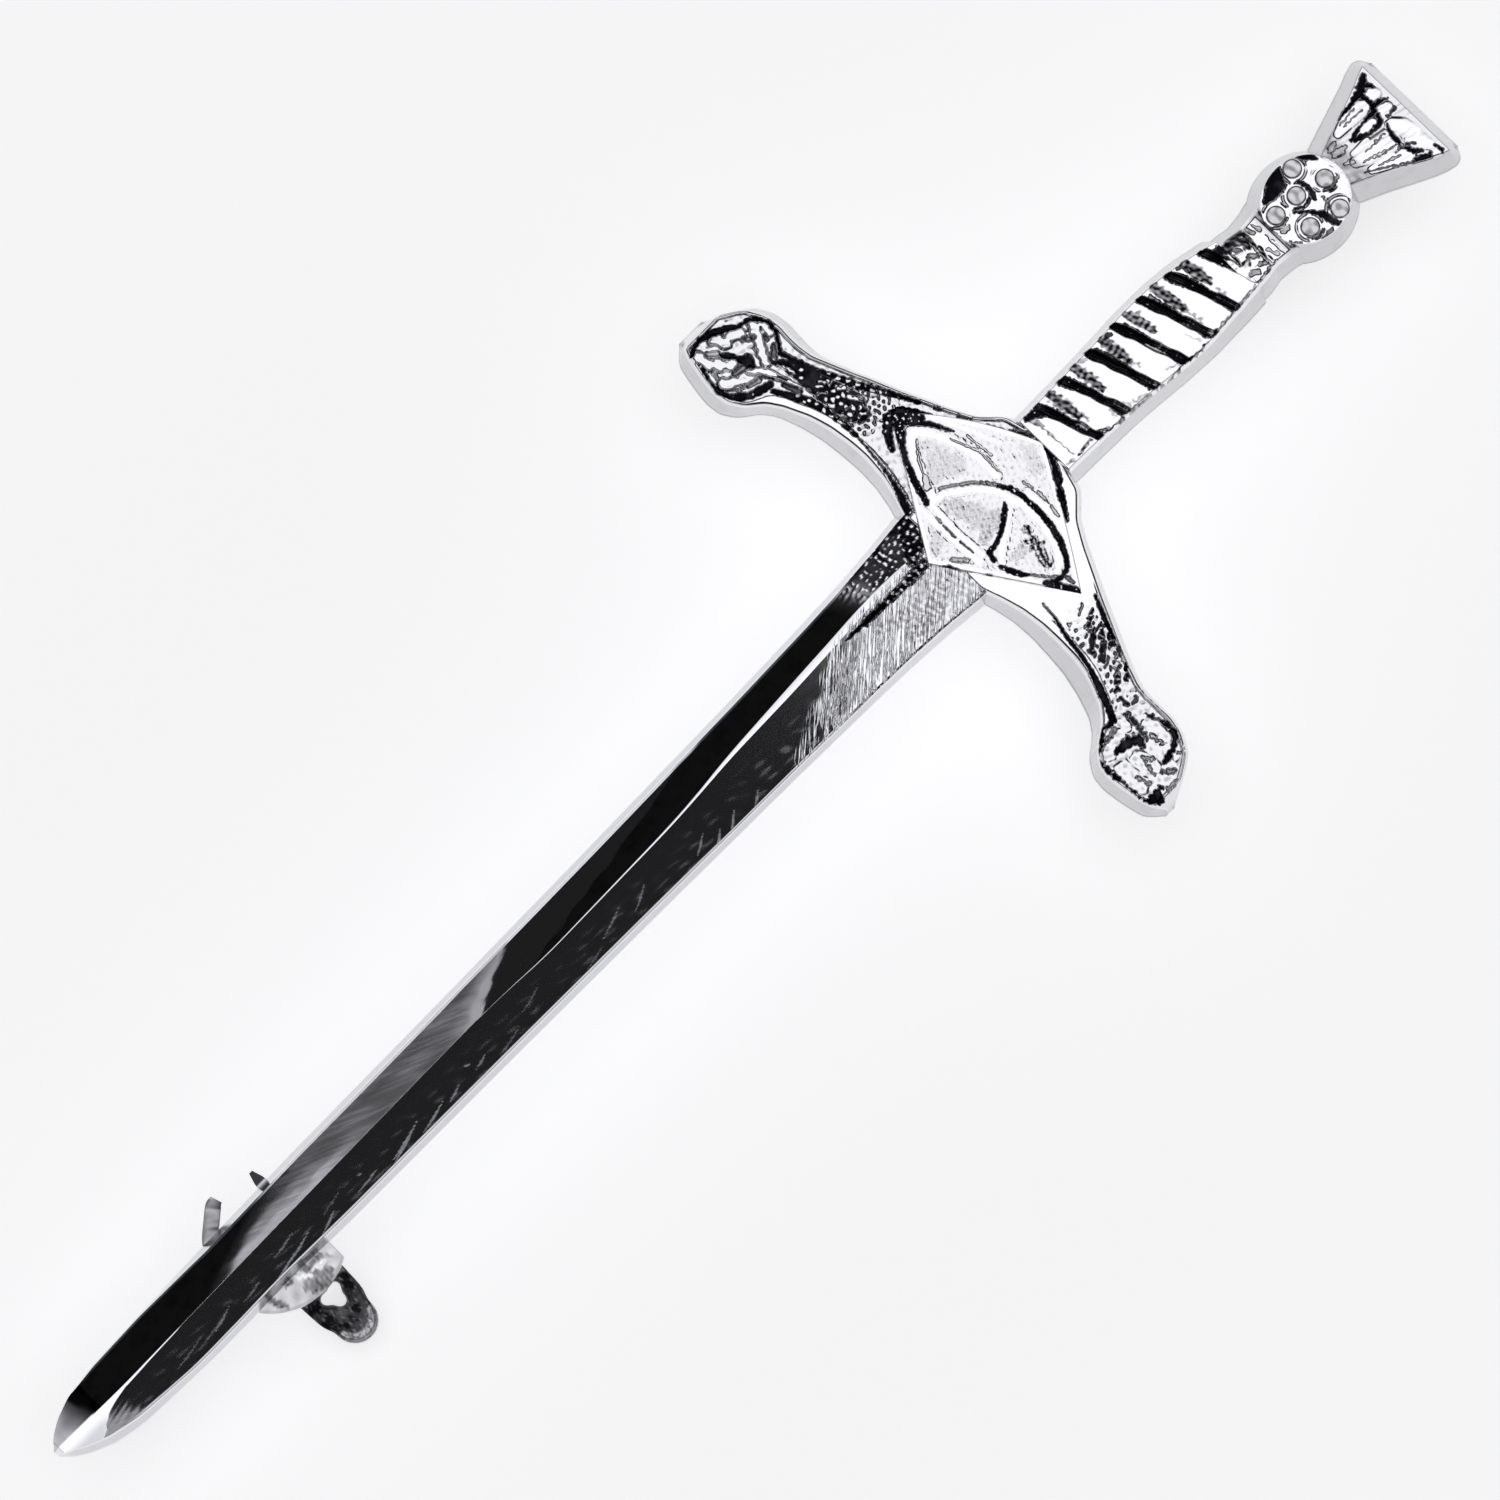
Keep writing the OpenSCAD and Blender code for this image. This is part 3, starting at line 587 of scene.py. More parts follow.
# The longest scratches of the lower facet: strength, where each starts and where it ends
bladeScratches = [
    (0.5, 7.4, -1.5, 9.6, -1.15), (0.5, 9.0, -1.55, 11.4, -1.2), (0.7, 10.2, -1.5, 11.6, -1.1),
    (0.6, 12.2, -1.5, 13.6, -1.3), (1, 14.0, -1.95, 15.9, -1.55), (0.8, 15.2, -1.75, 17.2, -1.3),
    (0.9, 17.6, -1.9, 18.9, -1.45), (0.6, 15.0, -1.0, 16.6, -0.75), (0.5, 18.4, -1.2, 19.8, -0.95),
    (0.8, 20.3, -1.7, 22.1, -1.5), (1, 22.7, -2.0, 25.2, -1.25), (0.9, 22.9, -1.8, 24.6, -1.4),
    (1, 25.0, -1.9, 26.8, -1.5), (0.8, 27.1, -1.75, 28.1, -1.45), (0.7, 29.2, -1.55, 30.2, -1.3),
    (0.5, 30.6, -1.9, 32.4, -1.6), (0.5, 33.0, -1.2, 34.6, -0.8), (0.7, 38.6, -1.5, 40.5, -0.9),
    (0.7, 40.8, -1.7, 42.2, -1.0), (0.5, 37.0, -2.0, 38.4, -1.7), (0.8, 45.2, -1.9, 46.2, -1.3),
    (1, 46.2, -2.35, 47.0, -1.75), (1, 47.2, -2.35, 48.2, -1.6), (0.8, 49.0, -2.3, 49.9, -1.7),
    (0.8, 28.9, -1.0, 29.2, -1.15), (0.7, 21.0, -1.05, 21.3, -1.1)]


def bladeRings():
    # height = ridge height less the slope summed outwards from the ridge line: steep over both facets,
    # near nothing on the flat of the ridge, on the tip's wedge and where the lower facet meets the guard
    b = blade
    x = b["len"] * np.linspace(0, 1, b["rows"])[:, None] ** b["rowBunching"]
    half = easedLine(x / b["tableLen"], b["stops"], b["width"], 0.003) * b["rootHalf"]
    lowHalf = half + easedLine(x, b["bellyStops"], b["belly"], 0.5)
    rise = np.interp(x, b["riseStops"], b["rise"])
    ridge = easedLine(x, b["ridgeStops"], b["ridgeDrift"], 1.0) * ease(x, 0, 2)
    flat = easedLine(x, b["flatStops"], b["flatHalf"], 1.0)
    upper = np.maximum(half - easedLine(x, b["leanStops"], b["upperLean"], 0.5), half * b["leastTop"])
    lower = np.maximum(lowHalf - easedLine(x, b["leanStops"], b["lowerLean"], 0.5), half * b["leastTop"])
    t = np.linspace(0, np.pi, b["acrossTop"] // 2)[None]
    part = 0.5 - 0.3 * np.cos(t) - 0.2 * (1 - 2 * t / np.pi)
    y = np.concatenate([upper + (ridge + flat - upper) * part,
                        ridge - flat - (lower + ridge - flat) * part], 1)
    above = y > ridge
    fall = (b["ridge"] - b["edge"]) * rise
    slope = np.where(above, -np.minimum(fall / (upper - ridge - flat), b["steepest"]),
                     np.minimum(fall / (lower + ridge - flat), b["steepest"]))
    steep = 1.0 * (np.abs(y - ridge) > flat - 0.001)
    hatch = ripples(0.5 * x + 0.3 * y, 4 * y - 0.6 * x, 0.9, 8)
    wedge = easedLine(x, b["wedgeStops"], b["wedgeReach"], 0.3)
    wedge = wedge + 0.1 * hatch * ease(x, 2.2, 3.2) * (x < 5)
    inWedge = ease(wedge - (ridge - y), -0.05, 0.07) * ~above
    tipShare = 1 - ease(x, *b["tipFlat"])
    turnIn = x - b["fallFrom"] - b["fallSlant"] * (y + 2.4) + 0.5 * ripples(x, y, 1.5, 14)
    fallIn = ease(turnIn, 0, b["fallLen"]) * ~above
    stipple = ease(x + 0.5 * y, *b["stippleFrom"])
    satinEnd = b["satinTo"] + b["satinEndSlant"] * y + b["satinEndBend"] * y ** 2
    pastEnd = x - (satinEnd + 0.1 * ripples(x, y, 0.8, 12))
    pastStart = x - b["satinFrom"] - b["satinSlant"] * np.maximum(y, 0)
    early = 1 - ease(x, *b["satinEarly"])
    nearRidge = ease(0.75 - (y - ridge) + 0.15 * ripples(x, 3 * y, 1.5, 15), 0, 0.5)
    endStreak = ease(pastEnd, -1.0, -0.3)
    nearEnd = ease(pastEnd, -1.8, -0.5) * (1 - ease(pastEnd, -0.3, 0.7))
    glow = nearRidge * ease(x, *b["glowFrom"]) * (1 - ease(x, *b["glowTo"]))
    steep = steep * (1 - 0.95 * inWedge) * (1 - 0.95 * above * tipShare) * (1 - 0.9 * fallIn)
    flatter = np.maximum(b["glowFlat"] * np.minimum(glow, 1),
                         b["endFlat"] * nearEnd * (1 - ease(y, 1.2, 1.9)))
    steep = steep * (1 - above * np.maximum(flatter, 0.8 * stipple))
    rate = slope * steep
    step = np.diff(y, axis=1)
    onFlat = np.arange(step.shape[1]) == b["acrossTop"] // 2 - 1
    summed = np.cumsum(0.5 * (rate[:, 1:] + rate[:, :-1]) * step * ~onFlat, axis=1)
    height = np.concatenate([0 * x, summed], 1)
    top = height - height.max(1, keepdims=True) + b["ridge"] * rise
    toEdge = np.minimum(upper - y, lower + y)
    top = top - b["rimRound"] * (1 - ease(toEdge, 0, b["rimHalf"])) * ease(x, 2.5, 5)
    top = top + b["waviness"] * ripples(x, y, 6.0, 3) * ease(toEdge, 0, 0.5)
    dots = ripples(x, y, 0.34, 5, 13)
    rx, ry = ragged(x, y, 0.05, 0.4, 17)
    hollows = nearLines(rx, ry, bladeHollows)
    top = top + stipple * b["stippleDepth"] * dots - b["hollowDepth"] * hollows
    thin, thick, sag = b["scratch"]
    scratches = nearLines(x, y, [
        (strength, (ax, ay, thin), ((ax + bx) / 2, (ay + by) / 2 - sag, thick), (bx, by, thin))
        for strength, ax, ay, bx, by in bladeScratches])
    brushed = ease(ripples(0.35 * x - 0.6 * y, 0.4 * x + 2.2 * y, 0.75, 16, 11), 0.1, 1.1)
    brushed = brushed * ease(-y, 0.1, 1.2)
    satin = ease(pastStart + 0.9 * ripples(x, 4 * y, 2.5, 11), 0, 2.5)
    satin = satin * (1 - ease(pastEnd + 0.3 * hatch, -0.5, 0.35)) * above
    grayFrom, graySlant, grayLen = b["tipSatin"]
    tipSatin = 1 - ease(x - grayFrom - graySlant * (ridge - y) + 0.5 * hatch, -0.4, grayLen)
    tipSatin = b["tipWear"] * tipSatin * (1 - inWedge) * (1 - ease(x, 4.5, 6))
    clouds = 0.07 * ripples(x, 2.5 * y, 3.0, 18)
    everywhere, atEnds, inStreak = b["satinBright"]
    brighter = atEnds * np.maximum(early, ease(pastEnd, -3.2, -0.6))
    bright = everywhere + clouds + brighter + inStreak * endStreak
    shadowed = 1 - 0.6 * ease(y, 0.8, 1.3) * early
    # painted dark reflections on the upper facet: black from about 3 mm behind the tip to the satin's
    # start, and again between the ridge and a slanting line from 35 mm on; painted shade greys the upper
    # facet near the tip and the lower part of the tip's wedge, and darkens the stipple's low dots and the
    # hollows
    startBlack = ease(x, 2.4, 3.2) * (1 - ease(pastStart, -0.5, 2.2))
    lineAt, lineFrom, lineSlope = b["blackLine"]
    line = lineFrom + lineSlope * (x - lineAt) + 0.08 * ripples(x, y, 1.8, 13)
    endBlack = ease(x, lineAt - 0.6, lineAt + 0.4) * ease(line - y, -0.12, 0.1) * (1 - stipple)
    offRidge = ease(np.abs(y - ridge) - flat, -0.02, 0.04)
    dark = above * offRidge * np.maximum(startBlack, endBlack) * b["black"]
    fade = easedLine(x + 0.15 * ripples(x, y, 1.2, 9), b["tipShadeStops"], b["tipShade"], 0.2)
    dark = np.maximum(dark, fade * above * (1 - ease(x, 3.3, 3.8)) * ease(y - ridge, 0, 0.1))
    wedgeDark = ~above * inWedge * (1 - ease(x, 2.5, 4)) * b["wedgeShade"] * ease(-y, 0.25, 0.9)
    dark = np.maximum(dark, wedgeDark)
    rooted = stipple * np.where(above, 0.97 * ease(0.75 - dots, 0, 0.3),
                                0.3 * ease(0.3 - dots, 0, 0.7) + 0.1)
    patchDark = nearLines(*ragged(x, y, 0.15, 0.6, 19), bladeDarkPatches) * ease(0.3 - dots, 0, 0.6)
    dark = np.maximum(np.maximum(dark, rooted * offRidge), hollows * ease(0.75 - stipple * dots, 0, 0.3))
    rubbed = np.maximum(np.maximum(b["scratchWear"] * scratches, b["brushWear"] * brushed), tipSatin)
    marks = {"grimeAndShade": np.maximum(dark, patchDark),
             "worn": np.maximum(satin * bright * shadowed, ~above * rubbed),
             "filed": ~above * ease(turnIn, -3.2, 0.4) * (1 - 0.6 * stipple)}
    return walled(x, (half, -lowHalf), y, top, marks)


# The guard: two arms, each with a rim along both sides, a sunk field and a lobed knob

guard = {
    "rows": 880, "acrossTop": 88,
    "armWidth": 3.7, "sweep": 3.7, "skew": 0.5,
    "stops": (0, 0.15, 0.212, 0.281, 0.354, 0.424, 0.494, 0.566, 0.637, 0.68, 0.72, 0.765, 0.813, 0.865,
              0.919, 0.955, 0.985, 1.0),
    "width": (2.4, 2.21, 1.81, 1.56, 1.38, 1.24, 1.13, 1.05, 1.03, 1.1, 1.35, 1.5, 1.54, 1.46, 1.26,
              0.94, 0.5, 0.24),
    "sweepShare": (0, 0.1, 0.2, 0.26, 0.33, 0.42, 0.51, 0.63, 0.76, 0.87, 1.01, 1.08, 1.09, 1.1, 1.15,
                   1.26, 1.34, 1.36),
    "rimHeight": 2.15, "endLean": 0.66,
    "leanStops": (0, 0.2, 0.4, 0.55, 0.65, 0.75, 0.9, 1.0),
    "tipLean": {1: (0.5, 0.45, 0.6, 0.5, 0.28, 0.5, 0.56, 0.5),
                -1: (0.5, 0.45, 0.75, 0.95, 0.8, 0.5, 0.5, 0.5)},
    "hiltLean": {1: (0.4, 0.4, 0.45, 0.45, 0.5, 0.7, 0.7, 0.6),
                 -1: (0.4, 0.4, 0.45, 0.45, 0.4, 0.35, 0.35, 0.35)},
    "tipRim": 0.45, "hiltRim": 0.16, "knobRim": 0.12, "knobFrom": 12.4,
    "fieldDepth": 0.24, "grooveDepth": 0.24, "lumpHeight": 0.26, "dashDepth": 0.08, "dotHeight": 0.012,
    "glintStops": (5.8, 7.4, 8.6, 10.0, 11.5, 13.0), "glintFrom": (0.7, 0.6, 0.1, 0.3, 0.75, 1.1),
    "scaleStops": (0, 0.6, 0.72, 0.9, 1), "scale": (1, 1, 1.06, 1.06, 0.98),
    "edgeDrop": 0.06, "edgeHalf": 0.12,
}
# Grooves and hollows of the arms and knobs, painted dark with shade: strength, then points (x from the
# tip, y, half width)
guardGrooves = [
    (1, (63.55, 16.6, 0.10), (64.0, 16.85, 0.09), (64.5, 16.95, 0.1), (65.3, 16.65, 0.2),
     (65.9, 16.35, 0.15), (66.43, 15.98, 0.08), (67.05, 15.88, 0.1), (67.4, 15.5, 0.12),
     (67.7, 14.95, 0.08), (67.6, 14.4, 0.08), (67.3, 13.95, 0.09), (66.96, 13.43, 0.12),
     (67.25, 12.5, 0.12), (67.6, 11.6, 0.1), (68.0, 10.7, 0.13), (68.5, 9.5, 0.2), (68.95, 8.75, 0.17),
     (69.35, 8.0, 0.14), (69.75, 7.3, 0.1), (70.2, 6.4, 0.06)),
    (1, (63.45, 15.7, 0.08), (63.3, 15.1, 0.07), (63.17, 14.3, 0.1), (63.45, 13.7, 0.14),
     (63.8, 13.3, 0.2), (64.3, 12.95, 0.16), (64.8, 12.8, 0.2), (65.35, 12.65, 0.17)),
    (1, (65.25, 12.3, 0.1), (65.75, 11.4, 0.17), (66.2, 10.6, 0.2), (66.42, 9.8, 0.18), (66.55, 8.9, 0.14),
     (66.6, 8.1, 0.13), (66.6, 7.2, 0.06), (66.45, 6.0, 0.04), (66.3, 4.9, 0.07), (66.1, 4.1, 0.12),
     (65.9, 3.5, 0.2), (65.6, 2.9, 0.3)), (0.9, (70.55, 5.65, 0.07), (70.75, 5.3, 0.05)),
    (0.9, (71.1, 4.5, 0.07), (71.4, 3.9, 0.04)),
    (0.9, (71.75, 3.1, 0.05), (71.95, 2.65, 0.1), (72.2, 2.3, 0.05)),
    (0.9, (72.4, 2.0, 0.08), (72.85, 1.3, 0.1)),
    (1, (64.7, 15.6, 0.1), (64.95, 15.2, 0.17), (65.15, 14.95, 0.1)),
    (0.5, (64.2, 16.1, 0.15), (64.6, 15.8, 0.15)),
    (1, (65.2, 14.75, 0.15), (65.45, 14.4, 0.3), (65.35, 14.0, 0.2)),
    (0.7, (64.5, 14.35, 0.12), (65.1, 14.2, 0.2)), (0.7, (66.1, 15.35, 0.1), (66.5, 15.0, 0.14)),
    (0.8, (67.0, 14.7, 0.07), (67.0, 14.4, 0.08)),
    (0.85, (67.0, 14.0, 0.1), (66.8, 13.75, 0.16), (66.5, 13.5, 0.16)),
    (0.6, (64.5, 13.4, 0.08), (65.2, 13.2, 0.1)), (0.45, (63.9, 13.8, 0.1), (64.4, 13.5, 0.1)),
    (0.5, (63.75, 15.2, 0.08), (63.7, 14.8, 0.08)),
    (1, (66.4, 13.3, 0.1), (66.85, 12.6, 0.35), (67.1, 11.6, 0.5), (67.3, 10.6, 0.65), (67.4, 9.6, 0.8),
     (67.5, 8.8, 0.7), (67.6, 8.2, 0.4)),
    (1, (67.4, 5.7, 0.12), (67.9, 6.55, 0.2), (68.5, 7.0, 0.26), (69.1, 6.85, 0.24), (69.65, 6.2, 0.18),
     (70.1, 5.4, 0.09)),
    (1, (73.1, 0.3, 0.08), (72.95, -0.4, 0.11), (72.65, -1.0, 0.16), (72.3, -1.5, 0.22),
     (72.1, -1.85, 0.1), (71.75, -2.3, 0.17), (71.4, -2.9, 0.13), (71.1, -3.4, 0.05)),
    (0.9, (65.9, 12.1, 0.12), (66.2, 11.3, 0.16)),
    (1, (67.07, -5.57, 0.03), (67.0, -6.5, 0.06), (66.72, -7.6, 0.1), (66.55, -8.8, 0.09),
     (66.37, -9.6, 0.1), (66.0, -10.7, 0.18), (65.6, -11.7, 0.16), (65.25, -12.4, 0.15),
     (64.9, -12.45, 0.1), (64.57, -12.3, 0.1), (63.87, -12.9, 0.14), (63.34, -13.1, 0.1),
     (63.2, -13.6, 0.13), (63.17, -14.3, 0.14), (63.3, -15.0, 0.07), (63.35, -16.3, 0.04),
     (63.55, -16.7, 0.12), (64.0, -17.1, 0.2)),
    (1, (63.65, -16.65, 0.1), (64.0, -16.75, 0.22), (64.5, -16.6, 0.1)),
    (1, (69.3, -7.2, 0.06), (69.0, -7.9, 0.1), (68.7, -8.6, 0.08), (68.4, -9.5, 0.05)),
    (0.6, (68.4, -9.5, 0.04), (68.05, -10.5, 0.03), (67.7, -11.8, 0.03), (67.5, -12.5, 0.05),
     (67.52, -13.8, 0.04)),
    (1, (66.8, -13.6, 0.07), (67.1, -14.5, 0.09), (67.05, -15.2, 0.12), (66.5, -15.6, 0.1),
     (65.9, -15.8, 0.16), (65.5, -15.85, 0.08)),
    (1, (64.2, -13.7, 0.12), (64.9, -13.75, 0.25), (65.5, -14.0, 0.22), (65.4, -14.4, 0.14)),
    (0.9, (65.9, -12.6, 0.05), (66.0, -13.3, 0.08), (65.87, -13.9, 0.08), (65.8, -14.4, 0.06)),
    (0.6, (64.9, -15.1, 0.04), (64.7, -15.85, 0.07)), (0.7, (65.2, -16.2, 0.1), (65.6, -16.5, 0.1)),
    (0.6, (64.3, -12.9, 0.1), (65.0, -12.8, 0.12)), (0.45, (65.0, -14.9, 0.12), (65.3, -15.3, 0.1)),
    (0.4, (66.1, -14.3, 0.08), (66.2, -15.1, 0.08)), (0.5, (64.0, -15.3, 0.06), (64.2, -16.1, 0.08)),
    (0.5, (66.4, -16.0, 0.05), (66.9, -16.1, 0.05)), (0.4, (64.7, -17.0, 0.1), (65.3, -16.9, 0.08))]
# Short dark dashes of the lower arm's field and white ones of the upper arm's
lowerDashes = [
    (1, (67.1, -9.1, 0.11), (67.9, -8.4, 0.11)), (1, (67.2, -9.75, 0.13), (67.9, -9.2, 0.11)),
    (1, (67.8, -8.1, 0.1), (68.7, -7.6, 0.09)), (1, (68.0, -8.95, 0.09), (68.4, -8.5, 0.09)),
    (1, (68.1, -9.6, 0.09), (68.4, -9.1, 0.09)), (0.9, (67.1, -10.2, 0.08), (67.5, -9.9, 0.08)),
    (0.9, (68.0, -10.25, 0.08), (68.2, -10.0, 0.08)), (1, (66.5, -11.45, 0.1), (67.1, -11.0, 0.1)),
    (1, (67.3, -11.4, 0.07), (67.8, -10.9, 0.08)), (1, (66.35, -11.85, 0.11), (66.4, -12.35, 0.08)),
    (0.9, (66.1, -12.7, 0.07), (66.0, -13.3, 0.08)), (0.9, (66.7, -12.55, 0.08), (67.0, -12.4, 0.07)),
    (0.5, (67.1, -7.5, 0.06), (67.3, -7.3, 0.06)), (0.6, (68.0, -7.3, 0.07), (68.5, -7.0, 0.06)),
    (0.5, (67.3, -10.9, 0.04), (67.3, -10.3, 0.04)), (0.5, (67.7, -10.7, 0.04), (67.75, -10.1, 0.04))]
upperSpots = [
    (1, (65.1, 13.9, 0.2), (65.75, 13.1, 0.22), (66.1, 12.2, 0.14), (66.4, 11.4, 0.08)),
    (1, (66.4, 13.1, 0.08), (66.65, 12.5, 0.12), (66.72, 12.2, 0.08)),
    (0.9, (67.3, 11.0, 0.07), (67.5, 10.7, 0.08)), (0.9, (66.9, 10.5, 0.07), (67.1, 10.3, 0.07)),
    (0.9, (67.5, 10.45, 0.06), (67.8, 10.5, 0.07)), (1, (66.6, 9.9, 0.1), (66.9, 9.5, 0.14)),
    (1, (67.7, 10.0, 0.09), (68.1, 9.7, 0.1)), (1, (67.8, 9.3, 0.14), (68.3, 8.6, 0.18)),
    (1, (66.7, 9.0, 0.16), (67.0, 8.7, 0.1)), (0.8, (67.2, 8.9, 0.07), (67.5, 8.9, 0.06))]
# Lumps of the knobs, flat-topped
knobLumps = [
    (1, (63.8, 16.3, 0.32), (63.9, 15.6, 0.28)), (1, (64.15, 15.3, 0.32), (64.8, 14.8, 0.3)),
    (1, (65.0, 16.4, 0.3), (65.3, 15.8, 0.3)), (1, (65.75, 15.9, 0.3), (66.2, 15.6, 0.3)),
    (1, (66.95, 15.4, 0.32), (66.5, 14.5, 0.27), (66.0, 13.6, 0.25)),
    (1, (67.35, 15.2, 0.22), (67.3, 14.5, 0.2)),
    (1, (63.7, 14.4, 0.3), (64.2, 13.9, 0.36), (65.0, 13.7, 0.34)),
    (1, (65.2, 13.9, 0.2), (65.75, 13.1, 0.22), (66.1, 12.2, 0.14), (66.4, 11.4, 0.08)),
    (0.14, (63.9, -13.5, 0.4), (64.9, -13.1, 0.36)), (0.14, (63.8, -14.6, 0.5), (63.8, -15.8, 0.46)),
    (0.14, (64.8, -14.7, 0.4), (65.0, -15.6, 0.4)), (0.14, (66.5, -13.8, 0.4), (66.5, -14.9, 0.4)),
    (0.14, (65.5, -13.1, 0.3), (65.6, -12.6, 0.25)), (0.14, (66.2, -16.0, 0.25), (66.9, -15.8, 0.2))]


def guardRings():
    # height = rim height, less the sunk field between the rims and the grooves, plus the knobs' lumps
    g = guard
    y = np.linspace(-1, 1, g["rows"])[:, None] * (guardHalf - 0.01)
    reach = np.abs(y) / guardHalf
    width = easedLine(reach, g["stops"], g["width"], 0.012) * g["armWidth"]
    middle = hingeAt - easedLine(reach, g["stops"], g["sweepShare"], 0.012) * g["sweep"]
    low = middle - width / 2
    high = middle + width / 2 + y / guardHalf * g["skew"]
    lowStretch = np.sqrt(1 + np.gradient(low, y[:, 0], axis=0) ** 2)
    highStretch = np.sqrt(1 + np.gradient(high, y[:, 0], axis=0) ** 2)
    room = 0.42 * (high - low)
    lowLean, highLean = (np.minimum(np.where(y > 0, easedLine(reach, g["leanStops"], g[key][1], 0.03),
                                             easedLine(reach, g["leanStops"], g[key][-1], 0.03)), room)
                         for key in ("tipLean", "hiltLean"))
    q = np.linspace(0, 1, g["acrossTop"])[None]
    x = low + lowLean + q * (high - highLean - low - lowLean)
    fromTip = (x - low - lowLean) / lowStretch
    fromHilt = (high - highLean - x) / highStretch
    fromEnd = guardHalf - g["endLean"] - np.abs(y)
    knob = ease(np.abs(y), g["knobFrom"] - 0.5, g["knobFrom"] + 0.5)
    tipRim = g["tipRim"] + (g["knobRim"] - g["tipRim"]) * knob
    inRim = np.minimum(fromTip - tipRim, fromHilt - g["hiltRim"])
    inRim = np.minimum(inRim, fromEnd - g["knobRim"])
    field = ease(inRim, 0, 0.06) * np.where(y < 0, ease(-y, 6.0, 9.0), 1)
    rx, ry = ragged(x, y, 0.035 + 0.05 * ease(-y, 12.2, 12.8), 0.3, 21)
    grooves = nearLines(rx, ry, guardGrooves)
    mottled = ease(ripples(x, y, 0.34, 27, 9) - 0.45, 0, 0.3) * ease(-y, 7.2, 8.2) * ease(12.6 + y, 0, 1.2)
    dashes = nearLines(*ragged(x, y, 0.08, 0.35, 29), widened(lowerDashes, 1.15))
    dashes = dashes * ease(ripples(x, y, 0.3, 26, 9) + 0.9, 0, 0.4)
    dashes = np.maximum(dashes, 0.9 * mottled * (inRim > 0.1))
    flecks = ease(ripples(x, y, 0.34, 28, 9) - 0.3, 0, 0.3) * ease(y, 6.6, 7.8) * ease(9.6 - y, 0, 0.8)
    dashes = np.maximum(dashes, 0.85 * flecks * (inRim > 0.1))
    spots = nearLines(rx, ry, upperSpots)
    lumps = nearLines(*ragged(x, y, 0.07, 0.5, 25), knobLumps)
    dots = ripples(x, y, 0.36, 23, 13)
    glintFrom = np.interp(y, g["glintStops"], g["glintFrom"])
    glints = ease(dots - glintFrom, 0, 0.2) * (y > 5.8) * (y < 14) * ease(inRim, 0.05, 0.15)
    scale = easedLine(reach, g["scaleStops"], g["scale"], 0.02)
    top = g["rimHeight"] * scale - g["fieldDepth"] * field * (1 - spots) - g["grooveDepth"] * grooves
    top = top + g["lumpHeight"] * lumps * knob - g["dashDepth"] * dashes + g["dotHeight"] * dots * field
    atEdge = 1 - ease(np.minimum(fromTip, fromHilt), 0, g["edgeHalf"])
    top = top - g["edgeDrop"] * atEdge + 0.01 * ripples(x, y, 2.5, 4)
    endRise = ease((guardHalf - np.abs(y)) / g["endLean"], 0, 1.1) ** 0.6
    top = np.maximum(top * endRise, 0.02)
    # painted shade: black in the grooves, broken by painted glints and the white spots; grey over the sunk
    # field, darker in its low dots; the end walls take the walls' painted shade
    ground = field * (0.12 + 0.3 * ease(-dots, 0, 0.9) * (1 - lumps))
    blackened = grooves * (1 - 0.92 * np.maximum(spots, glints))
    dark = np.maximum(np.maximum(blackened, dashes), ground * (1 - spots))
    return walled(y, (low, high), x, top, {"grimeAndShade": np.maximum(dark, walls["shade"] * (1 - endRise))}, "y")


# The panel in the middle of the guard: crossing strands over sunk, grained cells

panel = {
    "rows": 290, "acrossTop": 270,
    "corners": {"tip": (64.3, 0.15), "up": (68.7, 7.2), "hilt": (73.15, 0.3), "down": (68.85, -6.7)},
    "edgeLen": 7.4,
    "bows": {"upHilt": 0.42, "hiltDown": 0.12},
    "height": 2.5, "frame": 0.26, "strandHeight": 0.024, "cutDepth": 0.14, "skirt": 0.6,
}
strands = [
    (1, (66.15, 2.9, 0.12), (66.13, 0.5, 0.11), (66.3, -1.7, 0.14)),
    (1, (66.68, 2.2, 0.1), (66.57, 0.0, 0.11), (66.68, -1.5, 0.12)),
    (1, (66.95, 2.3, 0.14), (67.4, 3.6, 0.16), (68.0, 4.9, 0.15), (68.7, 5.6, 0.16), (69.35, 4.8, 0.16),
     (69.95, 3.4, 0.18), (70.2, 2.0, 0.17), (70.15, 0.8, 0.13)),
    (1, (66.8, 2.25, 0.14), (67.6, 2.1, 0.12), (68.8, 1.2, 0.14), (69.6, 0.3, 0.16), (69.75, -0.3, 0.15)),
    (1, (69.7, -0.4, 0.18), (70.0, -1.1, 0.16), (70.02, -2.6, 0.15), (69.75, -3.8, 0.15),
     (69.2, -4.7, 0.14), (68.7, -4.95, 0.11)),
    (1, (70.65, -0.9, 0.12), (70.75, -2.4, 0.14), (70.55, -3.7, 0.15), (69.8, -5.3, 0.15),
     (69.2, -6.2, 0.12)),
    (1, (69.3, -0.85, 0.13), (68.5, -1.5, 0.13), (67.5, -2.1, 0.14), (67.1, -2.55, 0.1)),
    (0.6, (71.5, 1.9, 0.1), (70.95, 3.3, 0.12), (70.3, 4.9, 0.12))]
